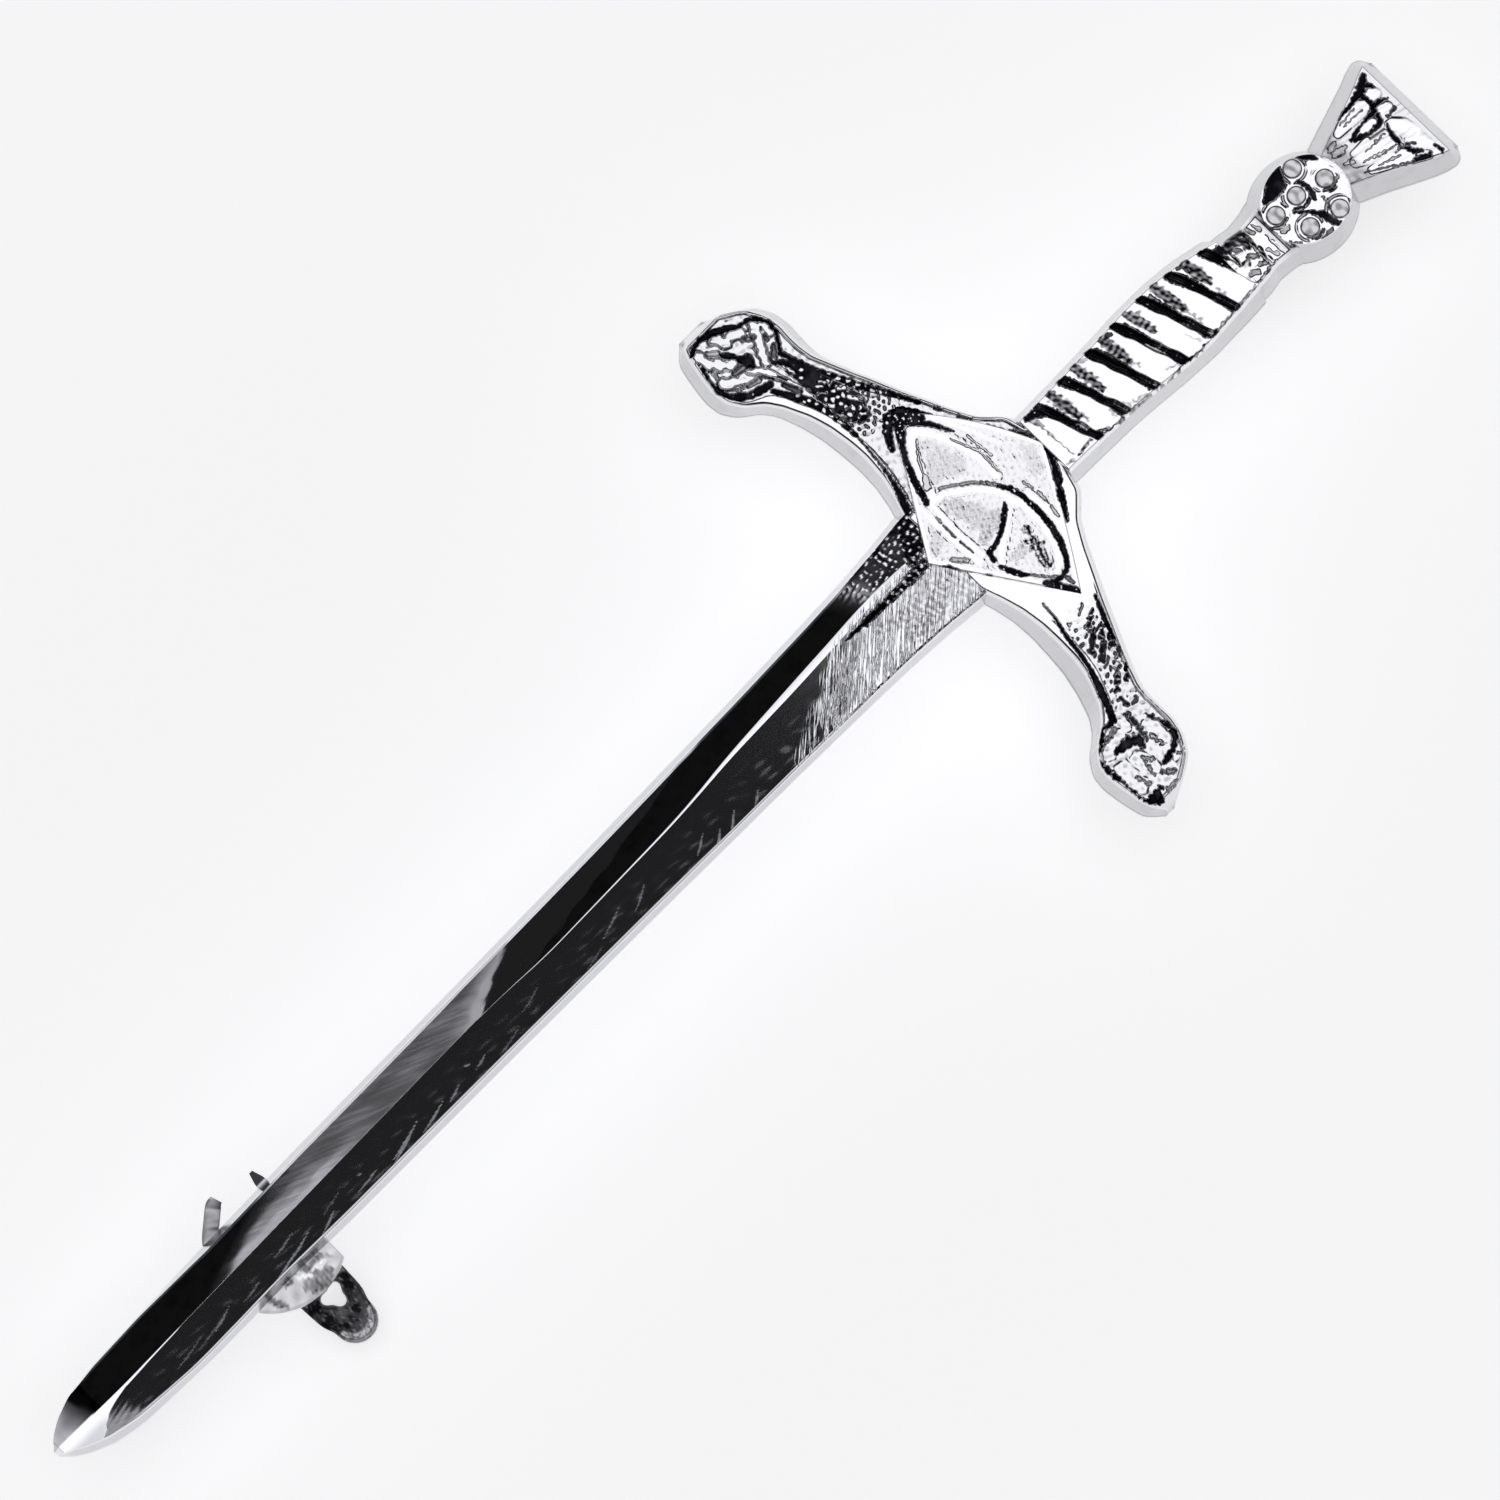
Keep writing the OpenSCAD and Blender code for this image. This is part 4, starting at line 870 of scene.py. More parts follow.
# Cuts of the panel painted dark with shade, and shaded patches
cuts = [
    (1, (66.6, 2.43, 0.13), (66.8, 3.1, 0.17), (67.05, 3.9, 0.15), (67.45, 4.8, 0.14), (67.9, 5.5, 0.15),
     (68.3, 5.95, 0.22)),
    (1, (69.05, 6.0, 0.2), (69.4, 5.6, 0.13), (69.75, 5.1, 0.1), (70.0, 4.6, 0.09), (70.25, 4.1, 0.06)),
    (1, (67.95, 6.4, 0.25), (68.35, 6.7, 0.4), (68.8, 6.7, 0.45), (69.3, 6.3, 0.3), (69.65, 5.75, 0.14)),
    (1, (67.9, 5.85, 0.2), (68.3, 6.25, 0.32), (68.75, 6.4, 0.34), (69.2, 6.15, 0.28), (69.5, 5.7, 0.14)),
    (0.6, (67.6, 2.5, 0.05), (68.2, 2.1, 0.07), (69.0, 1.5, 0.08), (69.5, 0.95, 0.09), (69.93, 0.35, 0.1)),
    (1, (69.85, 0.4, 0.1), (70.2, -0.2, 0.13), (70.35, -0.9, 0.12), (70.38, -1.8, 0.13),
     (70.3, -2.9, 0.15), (70.0, -4.0, 0.15), (69.6, -4.8, 0.12), (69.3, -5.15, 0.1), (68.8, -5.3, 0.1),
     (68.4, -5.2, 0.12)),
    (1, (69.45, -0.45, 0.07), (69.15, -0.75, 0.14), (68.7, -1.1, 0.12), (68.2, -1.4, 0.1),
     (67.6, -1.65, 0.1), (67.0, -1.7, 0.13), (66.87, -2.2, 0.1)),
    (1, (64.45, -0.3, 0.08), (64.9, -0.8, 0.2), (65.15, -1.25, 0.13), (65.45, -1.7, 0.1)),
    (0.85, (65.8, -2.2, 0.05), (66.1, -2.6, 0.15), (66.2, -2.9, 0.08)),
    (0.75, (66.4, -3.1, 0.05), (66.65, -3.5, 0.12)),
    (1, (66.9, -2.6, 0.06), (67.05, -3.1, 0.14), (67.3, -3.6, 0.14), (67.6, -4.0, 0.06)),
    (0.7, (67.5, -3.8, 0.05), (67.9, -4.35, 0.06), (68.3, -4.85, 0.06), (68.6, -5.1, 0.06)),
    (1, (67.9, -4.9, 0.12), (68.15, -5.25, 0.28), (68.35, -5.7, 0.2), (68.7, -6.2, 0.2),
     (68.85, -6.5, 0.12)), (0.8, (68.9, -5.5, 0.1), (68.95, -5.9, 0.08)),
    (1, (73.05, 0.15, 0.07), (72.85, -0.4, 0.1), (72.6, -0.9, 0.13), (72.25, -1.5, 0.16),
     (72.0, -1.85, 0.1), (71.75, -2.2, 0.14), (71.5, -2.75, 0.12), (71.2, -3.2, 0.07)),
    (0.4, (70.9, -0.4, 0.06), (71.0, -0.9, 0.07)), (0.4, (71.07, -1.3, 0.06), (71.05, -1.9, 0.07)),
    (0.4, (71.0, -2.3, 0.06), (70.9, -2.9, 0.07)), (0.6, (70.55, -4.2, 0.1), (70.45, -4.35, 0.08)),
    (0.85, (66.35, 0.95, 0.035), (66.33, 0.1, 0.045)), (0.85, (66.36, -0.25, 0.05), (66.42, -1.1, 0.03)),
    (0.5, (66.4, 1.5, 0.04), (66.38, 1.2, 0.06)), (0.5, (65.4, -0.6, 0.12), (65.9, -1.2, 0.12)),
    (0.25, (69.85, 3.9, 0.04), (70.45, 2.4, 0.05), (70.4, 1.0, 0.04)),
    (0.2, (70.6, 3.4, 0.05), (70.75, 1.8, 0.06)),
    (0.3, (67.3, 3.1, 0.05), (67.9, 4.3, 0.06), (68.6, 5.1, 0.06)),
    (0.3, (67.2, 3.0, 0.2), (67.5, 3.4, 0.15))]
# Grained grey grounds inside the cells, softer than the cuts
grounds = [
    (0.3, (68.0, 3.1, 0.5), (68.6, 3.6, 0.7), (69.0, 2.8, 0.6)),
    (0.42, (67.4, 1.4, 0.4), (67.9, 0.2, 0.6), (68.0, -0.8, 0.5)),
    (0.5, (67.3, -1.1, 0.3), (68.6, -0.55, 0.35)), (0.3, (65.3, 0.4, 0.4), (65.8, 0.9, 0.3)),
    (1.35, (69.25, -2.2, 0.16), (69.0, -3.1, 0.36), (68.8, -3.9, 0.32), (68.65, -4.5, 0.2)),
    (0.4, (67.8, -2.9, 0.3), (68.3, -2.9, 0.3)), (0.2, (71.9, -0.2, 0.5), (72.3, 0.6, 0.4)),
    (0.18, (68.6, 4.6, 0.4), (68.9, 4.0, 0.4))]


def panelRings():
    # a square grid carried onto the four corners, two of its edges bowed outwards; height = the cells'
    # floor plus the frame or the strands, less the cuts, and a skirt that runs down at the very edge to a
    # flat underside
    p = panel
    u = np.linspace(0, 1, p["rows"])[:, None]
    v = np.linspace(0, 1, p["acrossTop"])[None]
    corner = {key: np.array(place) for key, place in p["corners"].items()}
    shares = {"tip": (1 - u) * (1 - v), "up": u * (1 - v), "down": (1 - u) * v, "hilt": u * v}
    place = sum(shares[key][..., None] * corner[key] for key in corner)
    for key, along, over, sideways in (("upHilt", v, u, 0.53), ("hiltDown", u, v, -0.53)):
        swell = p["bows"][key] * 4 * along * (1 - along) * over ** 3
        place = place + swell[..., None] * np.array([0.85, sideways])
    x, y = place[..., 0], place[..., 1]
    edge = np.minimum(np.minimum(u, 1 - u), np.minimum(v, 1 - v)) * p["edgeLen"] + 0 * x
    rx, ry = ragged(x, y, 0.03, 0.3, 31)
    cut = nearLines(rx, ry, cuts)
    border = (1 - ease(edge, p["frame"], p["frame"] + 0.06)) * (1 - ease(y, 5.2, 6.2))
    raised = np.maximum(nearLines(x, y, strands), border)
    pillow = np.maximum(nearLines(x, y, widened(strands, 2.2)),
                        1 - ease(edge, p["frame"], p["frame"] + 0.4))
    ground = nearLines(*ragged(x, y, 0.16, 0.5, 33), grounds)
    grain = ripples(x, y, 0.3, 35, 13)
    fine = ripples(x, y, 0.15, 36, 13)
    low = 1 - raised
    top = p["height"] + p["strandHeight"] * (pillow - 1) - p["cutDepth"] * cut
    top = top + low * (0.009 * grain + 0.004 * fine) - p["skirt"] * (1 - ease(edge, 0, 0.07))
    shade = low * (0.1 + 0.14 * ease(-grain, 0, 1) + ground * (0.52 + 0.45 * grain + 0.25 * fine))
    # painted glints: light specks left in the cuts' painted shade, denser towards the upper corner
    glintSpecks = ease(grain + 0.6 * fine - 1.0 + 0.5 * ease(y, 5.6, 6.4), 0, 0.3)
    dark = np.maximum(cut * (1 - 0.8 * glintSpecks), shade)
    under = np.linspace(p["acrossTop"] - 1, 0, 6).astype(int)
    x, y = np.concatenate([x, x[:, under]], 1), np.concatenate([y, y[:, under]], 1)
    top = np.concatenate([top, 0 * top[:, under] + p["height"] - p["skirt"] - p["cutDepth"] - 0.1], 1)
    return np.stack([x, y, top], axis=-1), {"grimeAndShade": np.concatenate([dark, 0 * dark[:, under]], 1)}


# The grip and its collar

grip = {
    "from": 73.0, "to": 86.95, "rows": 460, "acrossTop": 100,
    "len": 13.6, "start": 73.8, "half": 2.7,
    "swellStops": (0, 0.2, 0.34, 0.53, 0.69, 0.84, 0.92, 1.0, 1.04),
    "swell": (0.87, 0.89, 0.915, 0.98, 1.0, 0.95, 0.9, 0.84, 0.78),
    "driftStops": (0, 0.3, 0.55, 0.8, 0.9, 1.0), "drift": (-0.12, -0.1, 0, 0.14, 0.26, 0.38),
    "leanStops": (0, 0.6, 0.9, 1.0),
    "upperLean": (0.42, 0.46, 0.62, 0.66), "lowerLean": (0.48, 0.44, 0.62, 0.66),
    "crest": 2.9, "shoulder": 2.3, "edgeRound": 0.14,
    "grooves": 7, "firstGroove": 74.85, "pitch": 1.96, "slant": 0.33, "grooveDepth": 0.4,
    "grooveHalf": (-0.16, 0.11), "slopeHalf": 0.34, "cutDepth": 0.06,
}
# Wedges of the grooves painted dark with shade: strength, then points (x from the tip, y, half width)
gripCuts = [
    (1, (73.3, 1.78, 0.14), (73.8, 1.68, 0.24), (74.25, 1.45, 0.3), (74.6, 0.9, 0.2), (74.85, 0.1, 0.12),
     (75.05, -0.8, 0.1), (75.25, -1.3, 0.17), (75.5, -1.5, 0.1)),
    (1, (75.9, 1.98, 0.16), (76.2, 1.55, 0.28), (76.5, 0.9, 0.23), (76.78, 0.1, 0.13), (76.97, -0.6, 0.13),
     (77.12, -1.45, 0.24)),
    (1, (78.0, 2.02, 0.14), (78.3, 1.6, 0.28), (78.62, 0.8, 0.26), (78.85, 0.0, 0.2), (79.0, -0.8, 0.12),
     (79.14, -1.7, 0.2)),
    (1, (79.95, 2.0, 0.16), (80.28, 1.45, 0.28), (80.58, 0.7, 0.2), (80.85, -0.1, 0.12),
     (81.05, -0.9, 0.08), (81.24, -1.85, 0.22)),
    (1, (81.9, 2.0, 0.16), (82.2, 1.5, 0.28), (82.5, 0.8, 0.24), (82.76, 0.0, 0.16), (82.95, -0.7, 0.1),
     (83.12, -1.75, 0.22)),
    (1, (83.85, 1.8, 0.2), (84.1, 1.4, 0.3), (84.42, 0.7, 0.27), (84.68, 0.0, 0.17), (84.88, -0.8, 0.11),
     (85.08, -1.75, 0.24)),
    (1, (85.95, 1.4, 0.18), (86.22, 1.0, 0.26), (86.5, 0.3, 0.28), (86.72, -0.3, 0.16),
     (86.87, -0.8, 0.06)), (1, (86.4, 0.85, 0.2), (87.0, 0.7, 0.34)),
    (0.9, (79.45, 1.85, 0.14), (79.6, 1.75, 0.1)), (0.9, (84.5, 1.7, 0.1), (84.7, 1.65, 0.07)),
    (0.8, (84.75, 1.6, 0.08), (84.8, 1.2, 0.05)), (0.9, (86.95, -1.35, 0.1), (87.05, -1.5, 0.08)),
    (0.7, (82.5, 1.7, 0.08), (82.62, 1.2, 0.05)), (0.7, (75.85, -1.55, 0.06), (75.55, -1.35, 0.05))]
# Painted grey shade on the hilt side of each groove, and the thin scalloped line of painted shade
# along the lower edge
gripShades = [
    (0.86, (75.1, 1.75, 0.22), (75.25, 0.8, 0.28), (75.35, -0.1, 0.16)),
    (0.5, (75.5, 0.1, 0.1), (75.55, -0.5, 0.08)),
    (0.84, (77.0, 1.95, 0.22), (77.15, 0.9, 0.26), (77.25, 0.1, 0.16)),
    (0.5, (77.45, 1.95, 0.12), (77.6, 1.75, 0.12)),
    (0.86, (79.05, 1.8, 0.22), (79.2, 0.9, 0.26), (79.28, 0.0, 0.14)),
    (0.5, (79.4, -0.2, 0.06), (79.5, -0.6, 0.06)),
    (0.8, (80.9, 1.9, 0.18), (81.15, 1.1, 0.24), (81.3, 0.3, 0.16)),
    (0.6, (81.2, 1.6, 0.1), (81.4, 1.5, 0.1)),
    (0.82, (82.95, 1.9, 0.2), (83.1, 0.9, 0.26), (83.25, -0.1, 0.16)),
    (0.5, (83.3, -0.4, 0.08), (83.4, -1.2, 0.08)),
    (0.84, (84.95, 1.6, 0.22), (85.1, 0.8, 0.28), (85.22, 0.0, 0.16)),
    (0.5, (85.2, -0.5, 0.08), (85.3, -1.2, 0.08)),
    (0.6, (73.6, 1.1, 0.06), (73.66, -0.4, 0.05), (73.7, -1.2, 0.04)),
    (0.6, (73.45, 1.5, 0.14), (73.6, 1.1, 0.12)), (0.75, (73.9, -1.5, 0.07), (74.9, -1.35, 0.07)),
    (0.6, (73.2, -1.4, 0.1), (73.5, -1.5, 0.08)),
    (0.85, (75.5, -1.52, 0.05), (76.2, -1.75, 0.05), (76.9, -1.8, 0.07)),
    (0.7, (77.4, -1.8, 0.07), (78.9, -2.0, 0.06)),
    (0.8, (79.3, -2.0, 0.06), (79.9, -2.15, 0.06), (81.0, -2.05, 0.05)),
    (0.85, (81.5, -2.1, 0.06), (82.3, -2.2, 0.06), (82.9, -2.1, 0.07)),
    (0.8, (83.3, -2.1, 0.08), (84.8, -2.0, 0.06)), (0.7, (85.3, -1.95, 0.06), (86.8, -1.85, 0.05)),
    (0.45, (76.9, -1.2, 0.25), (77.5, -1.5, 0.2)), (0.45, (80.3, -1.6, 0.05), (81.0, -1.9, 0.05)),
    (0.4, (77.9, -1.6, 0.1), (78.6, -1.8, 0.1)), (0.3, (80.7, -0.6, 0.06), (81.0, -1.5, 0.06)),
    (0.3, (82.3, -1.0, 0.05), (82.7, -1.9, 0.05))]


def gripRings():
    # height = a flat-topped round less seven slanting grooves, each steep on the tip side and easier on
    # the other
    g = grip
    x = np.linspace(g["from"], g["to"], g["rows"])[:, None]
    share = (x - g["start"]) / g["len"]
    half = easedLine(share, g["swellStops"], g["swell"], 0.03) * g["half"]
    middle = -easedLine(share, g["driftStops"], g["drift"], 0.03)
    upper = middle + half - np.interp(share, g["leanStops"], g["upperLean"])
    lower = middle - half + np.interp(share, g["leanStops"], g["lowerLean"])
    t = np.linspace(0, np.pi, g["acrossTop"])[None]
    y = upper + (lower - upper) * (0.5 - 0.2 * np.cos(t) - 0.3 * (1 - 2 * t / np.pi))
    toEdge = np.minimum(upper - y, y - lower)
    phase = (x + g["slant"] * y + 0.05 * ripples(x, y, 1.2, 40) - g["firstGroove"]) / g["pitch"]
    inside = ease(phase, -0.45, -0.3) * (1 - ease(phase, g["grooves"] - 0.7, g["grooves"] - 0.5))
    turn = (phase + 0.5) % 1 - 0.5
    first, last = g["grooveHalf"]
    groove = np.where(turn < 0, ease(turn, first, first / 2), 1 - ease(turn, last / 2, last)) * inside
    slope = (1 - ease(turn, 0, g["slopeHalf"])) * (turn > 0) * inside
    rounded = roundedEdge(toEdge, g["edgeRound"])
    top = g["shoulder"] + (g["crest"] - g["shoulder"]) * rounded * (1 - 0.12 * slope)
    rx, ry = ragged(x, y, 0.045, 0.24, 41)
    cut = nearLines(rx, ry, gripCuts)
    shade = nearLines(*ragged(x, y, 0.08, 0.34, 43), widened(gripShades, 1.2))
    clear = ease(toEdge, 0, 0.25)
    top = top - g["grooveDepth"] * groove * (0.4 + 0.6 * clear) * clear - g["cutDepth"] * cut
    grain = ripples(x, y, 0.34, 45, 11)
    # painted shade: black in the cut wedges with a few light flecks, grey beside each groove and along the
    # lower edge, and half dark down in the grooves
    dark = np.maximum(cut * (1 - 0.5 * ease(grain - 1.1, 0, 0.3)), shade * (1.04 + 0.34 * grain))
    dark = np.maximum(dark, 0.5 * groove * clear)
    return walled(x, (middle + half, middle - half), y, top, {"grimeAndShade": dark}, rim=walls["noRim"])


collar = {
    "from": 86.6, "to": 90.1, "rows": 120, "acrossTop": 84,
    "stops": (86.6, 87.2, 87.6, 88.1, 88.3, 88.5, 88.9, 89.4, 89.8, 90.1),
    "half": (2.1, 2.12, 2.1, 2.02, 1.98, 1.98, 2.02, 2.08, 2.2, 2.25),
    "top": (2.6, 2.72, 2.72, 2.7, 2.55, 2.62, 2.64, 2.6, 2.3, 1.9),
    "middle": -0.42, "upperLean": 0.72, "lowerLean": 0.55, "shoulder": 0.82, "edgeRound": 0.25,
    "knobTo": (88.2, 88.6), "neckFrom": (88.9, 89.4), "lumps": 0.035, "cutDepth": 0.08,
}
# Patches of the knob and of the notch behind it, painted dark with shade
collarShades = [
    (1, (86.9, 0.6, 0.34), (87.3, 0.65, 0.34), (87.8, 0.75, 0.36), (88.2, 0.8, 0.24)),
    (1, (86.95, 0.1, 0.14), (87.0, -0.5, 0.08)),
    (0.95, (87.8, 0.5, 0.2), (88.05, 0.1, 0.16), (88.0, -0.2, 0.08)),
    (0.95, (88.28, 0.6, 0.09), (88.28, -0.2, 0.07), (88.25, -1.2, 0.06)),
    (0.7, (87.3, 0.25, 0.1), (87.5, 0.1, 0.12)), (0.7, (87.6, -0.5, 0.1), (88.0, -0.8, 0.12)),
    (0.6, (87.1, -1.25, 0.16), (87.4, -1.4, 0.14)), (0.5, (87.7, -1.2, 0.08), (88.1, -1.4, 0.08)),
    (0.7, (88.55, 0.6, 0.1), (88.7, 0.2, 0.1)), (0.5, (88.95, 0.5, 0.1), (89.05, 0.1, 0.1)),
    (0.4, (88.6, -0.9, 0.08), (88.8, -1.5, 0.1)), (0.3, (89.1, -0.4, 0.06), (89.1, -1.6, 0.06)),
    (0.6, (87.1, -1.8, 0.06), (88.5, -1.65, 0.05))]


def collarRings():
    # sections of a rough round knob, a notch and a smooth neck; the tops are flat, with a quick round edge
    c = collar
    x = np.linspace(c["from"], c["to"], c["rows"])[:, None]
    half = easedLine(x, c["stops"], c["half"], 0.1)
    crest = easedLine(x, c["stops"], c["top"], 0.05)
    upper, lower = c["middle"] + half - c["upperLean"], c["middle"] - half + c["lowerLean"]
    y = upper + (lower - upper) * np.linspace(0, 1, c["acrossTop"])[None]
    toEdge = np.minimum(upper - y, y - lower)
    rounded = roundedEdge(toEdge, c["edgeRound"])
    rough = ripples(x, y, 0.7, 51, 9)
    shade = nearLines(*ragged(x, y, 0.06, 0.35, 52), collarShades)
    onKnob = 1 - ease(x, *c["knobTo"])
    top = crest * (c["shoulder"] + (1 - c["shoulder"]) * rounded)
    top = top + c["lumps"] * rough * onKnob - c["cutDepth"] * shade
    # the patches painted dark with shade; a grey where the knob's lumps rise and over the neck
    dark = shade * (1.0 + 0.25 * ripples(x, y, 0.3, 54)) + 0.3 * ease(rough - 0.4, 0, 0.6) * onKnob
    dark = np.maximum(dark, 0.25 * ease(x, *c["neckFrom"]))
    feet = (c["middle"] + half, c["middle"] - half)
    return walled(x, feet, y, top, {"grimeAndShade": dark}, rim=walls["noRim"])


# The thistle: a domed bulb with beads, and a crown of leaves

bulb = {
    "at": (91.95, -0.5), "radius": (3.15, 2.88), "wallLean": 0.64, "wallTop": 2.46, "crest": 2.53,
    "rows": 98, "wallRows": 10, "round": 260,
    "bead": 0.53, "beadRise": 0.2, "socket": 0.72, "socketHalf": 0.045, "cutDepth": 0.1,
    "beads": ((92.58, 1.12), (91.7, -0.03), (90.2, 0.0), (93.4, -0.45), (91.02, -1.7), (92.82, -2.12)),
}
# Clefts between the beads, painted dark with shade
bulbCuts = [
    (1, (90.3, 0.88, 0.12), (90.85, 0.98, 0.36), (91.35, 1.15, 0.52), (91.75, 1.5, 0.4),
     (92.15, 1.82, 0.14)),
    (1, (93.3, 1.55, 0.12), (93.55, 1.17, 0.26), (93.75, 0.87, 0.16), (93.85, 0.6, 0.08)),
    (1, (92.35, 0.4, 0.09), (92.45, -0.08, 0.11), (92.4, -0.58, 0.1), (92.25, -0.83, 0.1)),
    (1, (91.15, -0.45, 0.07), (91.6, -0.7, 0.08), (92.05, -0.6, 0.08)),
    (1, (91.0, -0.55, 0.06), (91.4, -0.9, 0.07), (91.75, -1.3, 0.09), (92.0, -1.73, 0.2),
     (92.1, -2.18, 0.18), (92.2, -2.58, 0.12), (92.25, -2.9, 0.06)),
    (0.9, (90.6, -2.0, 0.07), (90.9, -2.38, 0.08), (91.4, -2.28, 0.09)),
    (0.75, (91.05, -2.7, 0.14), (91.65, -2.65, 0.17)),
    (0.9, (90.15, -2.3, 0.05), (90.85, -2.75, 0.06), (91.75, -3.0, 0.08), (92.65, -3.05, 0.07),
     (93.4, -2.85, 0.05)), (0.95, (92.95, -0.85, 0.08), (93.35, -1.08, 0.14), (93.8, -0.85, 0.1)),
    (0.6, (89.65, -0.4, 0.07), (90.1, -0.62, 0.08), (90.5, -0.47, 0.07)),
    (0.5, (89.85, -0.85, 0.12), (90.2, -0.9, 0.12)), (0.7, (91.95, 1.1, 0.06), (91.95, 0.72, 0.06)),
    (0.7, (92.75, -1.4, 0.07), (92.4, -1.7, 0.07)), (0.6, (93.1, -2.75, 0.16), (93.5, -2.4, 0.16)),
    (0.5, (89.7, -1.6, 0.12), (90.05, -2.0, 0.12)), (0.5, (92.65, -1.05, 0.06), (92.6, -1.4, 0.06)),
    (0.8, (89.52, 0.5, 0.05), (89.47, -0.3, 0.06), (89.55, -0.9, 0.04))]


def bulbDome(x, y):
    # height of the dome over a place: a flattened quarter round over the wall's top
    b = bulb
    share = np.hypot((x - b["at"][0]) / (b["radius"][0] - b["wallLean"]),
                     (y - b["at"][1]) / (b["radius"][1] - b["wallLean"]))
    return b["wallTop"] + (b["crest"] - b["wallTop"]) * (1 - np.clip(share, 0, 1) ** 6)


def bulbRings():
    # rings from the rim inwards: a leaning wall, then the dome less its cuts, with a thin line of painted
    # shade round each bead's socket, broken here and there
    b = bulb
    inward = np.sin(np.linspace(np.pi / 2, 0.01, b["rows"] - b["wallRows"]))
    share = np.concatenate([np.ones(b["wallRows"]), inward])[:, None]
    onWall = np.minimum(np.arange(b["rows"]) / b["wallRows"], 1)[:, None]
    angle = np.linspace(0, 2 * np.pi, b["round"], endpoint=False)[None]
    x, y = (b["at"][i] + (b["radius"][i] - b["wallLean"] * onWall) * share * turned
            for i, turned in enumerate((np.cos(angle), np.sin(angle))))
    near = np.min([np.hypot(x - bx, y - by) for bx, by in b["beads"]], axis=0)
    face = ease(1 - share, 0, 0.03)
    line = 1 - ease(np.abs(near - b["socket"]), b["socketHalf"], b["socketHalf"] * 2)
    line = line * ease(ripples(x, y, 0.9, 62) + 0.5, 0, 0.8)
    cut = nearLines(*ragged(x, y, 0.05, 0.26, 61), bulbCuts) * ease(near - b["bead"], -0.02, 0.12)
    top = np.where(onWall < 1, b["wallTop"] * onWall, bulbDome(x, y))
    top = top - b["cutDepth"] * face * np.maximum(cut, 0.5 * line)
    rings = np.stack([x, y, top], axis=-1)
    base = np.stack([x[:1], y[:1], 0 * x[:1]], axis=-1)
    grain = ripples(x, y, 0.3, 63, 11)
    # dark clefts and socket lines of painted shade, a faint mottled grey, and the walls' painted shade
    # round the rim
    dark = np.maximum(face * cut, 0.45 * face * line) + 0.1 * face * ease(grain, 0.2, 1)
    dark = np.maximum(dark, walls["shade"] * (1 - ease(onWall, 0.9, 1)))
    return np.concatenate([base, rings]), {"grimeAndShade": np.concatenate([0 * x[:1] + walls["shade"], dark])}


def beadRings(centre):
    # a low button, from its foot to its middle: steep at its rim and near flat on top, in painted grey
    # shade
    b = bulb
    lift = np.linspace(-0.3, 1, 24)[:, None]
    angle = np.linspace(0, 2 * np.pi, 44, endpoint=False)[None]
    out = b["bead"] * (1 - np.clip(lift, 0, 1) ** 2 * 0.985)
    x, y = centre[0] + out * np.cos(angle), centre[1] + out * np.sin(angle)
    rise = np.where(lift < 0, lift, (1 - (1 - np.clip(lift, 0, 1)) ** 6))
    z = bulbDome(*centre) + b["beadRise"] * rise + 0 * angle
    spots = ease(ripples(x, y, 0.5, 65, 9), -0.5, 0.9)
    dark = 0.34 + 0.34 * spots + 0.16 * (1 - ease(lift, 0.2, 0.5))
    return np.stack([x, y, z], axis=-1), {"grimeAndShade": dark}


crown = {
    "from": 93.8, "rows": 186, "acrossTop": 150,
    "stops": (93.8, 94.3, 94.7, 95.4, 96.1, 97.4, 98.65, 99.3, 99.7, 100.04),
    "half": (1.7, 2.0, 2.15, 2.42, 2.7, 3.24, 3.75, 3.9, 3.75, 3.1),
    "middleStops": (94.3, 95.4, 98.0, 100.0), "middle": (-0.55, -0.62, -0.87, -0.87),
    "leanStops": (94.3, 95.4, 97.0, 98.7, 100.0), "lean": (0.9, 0.85, 0.8, 0.72, 0.6),
    "height": 2.45, "endLean": 0.95, "cutDepth": 0.14, "leafHeight": 0.05, "veinHeight": 0.008,
}
# Leaves and buds of the crown, and the clefts between them painted dark with shade
crownLeaves = [
    (1, (95.6, 0.7, 0.15), (96.5, 0.85, 0.3), (97.3, 0.85, 0.33), (97.75, 0.7, 0.2)),
    (1, (96.4, -0.12, 0.1), (96.9, -0.12, 0.17), (97.3, -0.18, 0.17)),
    (1, (95.4, -0.6, 0.1), (96.4, -0.65, 0.14)),
    (1, (95.2, -1.0, 0.2), (96.3, -1.3, 0.42), (97.3, -1.45, 0.4)),
    (1, (95.5, -1.9, 0.15), (96.5, -2.25, 0.34), (97.3, -2.7, 0.3)),
    (1, (98.3, 0.95, 0.28), (98.5, 0.8, 0.22)), (1, (98.2, -0.15, 0.28), (98.45, -0.15, 0.2)),
    (1, (97.95, -1.0, 0.25), (98.3, -1.5, 0.32), (98.5, -2.1, 0.28)),
    (1, (98.0, -2.2, 0.2), (98.4, -2.7, 0.3), (98.6, -3.1, 0.2)), (1, (98.52, -3.72, 0.24),)]
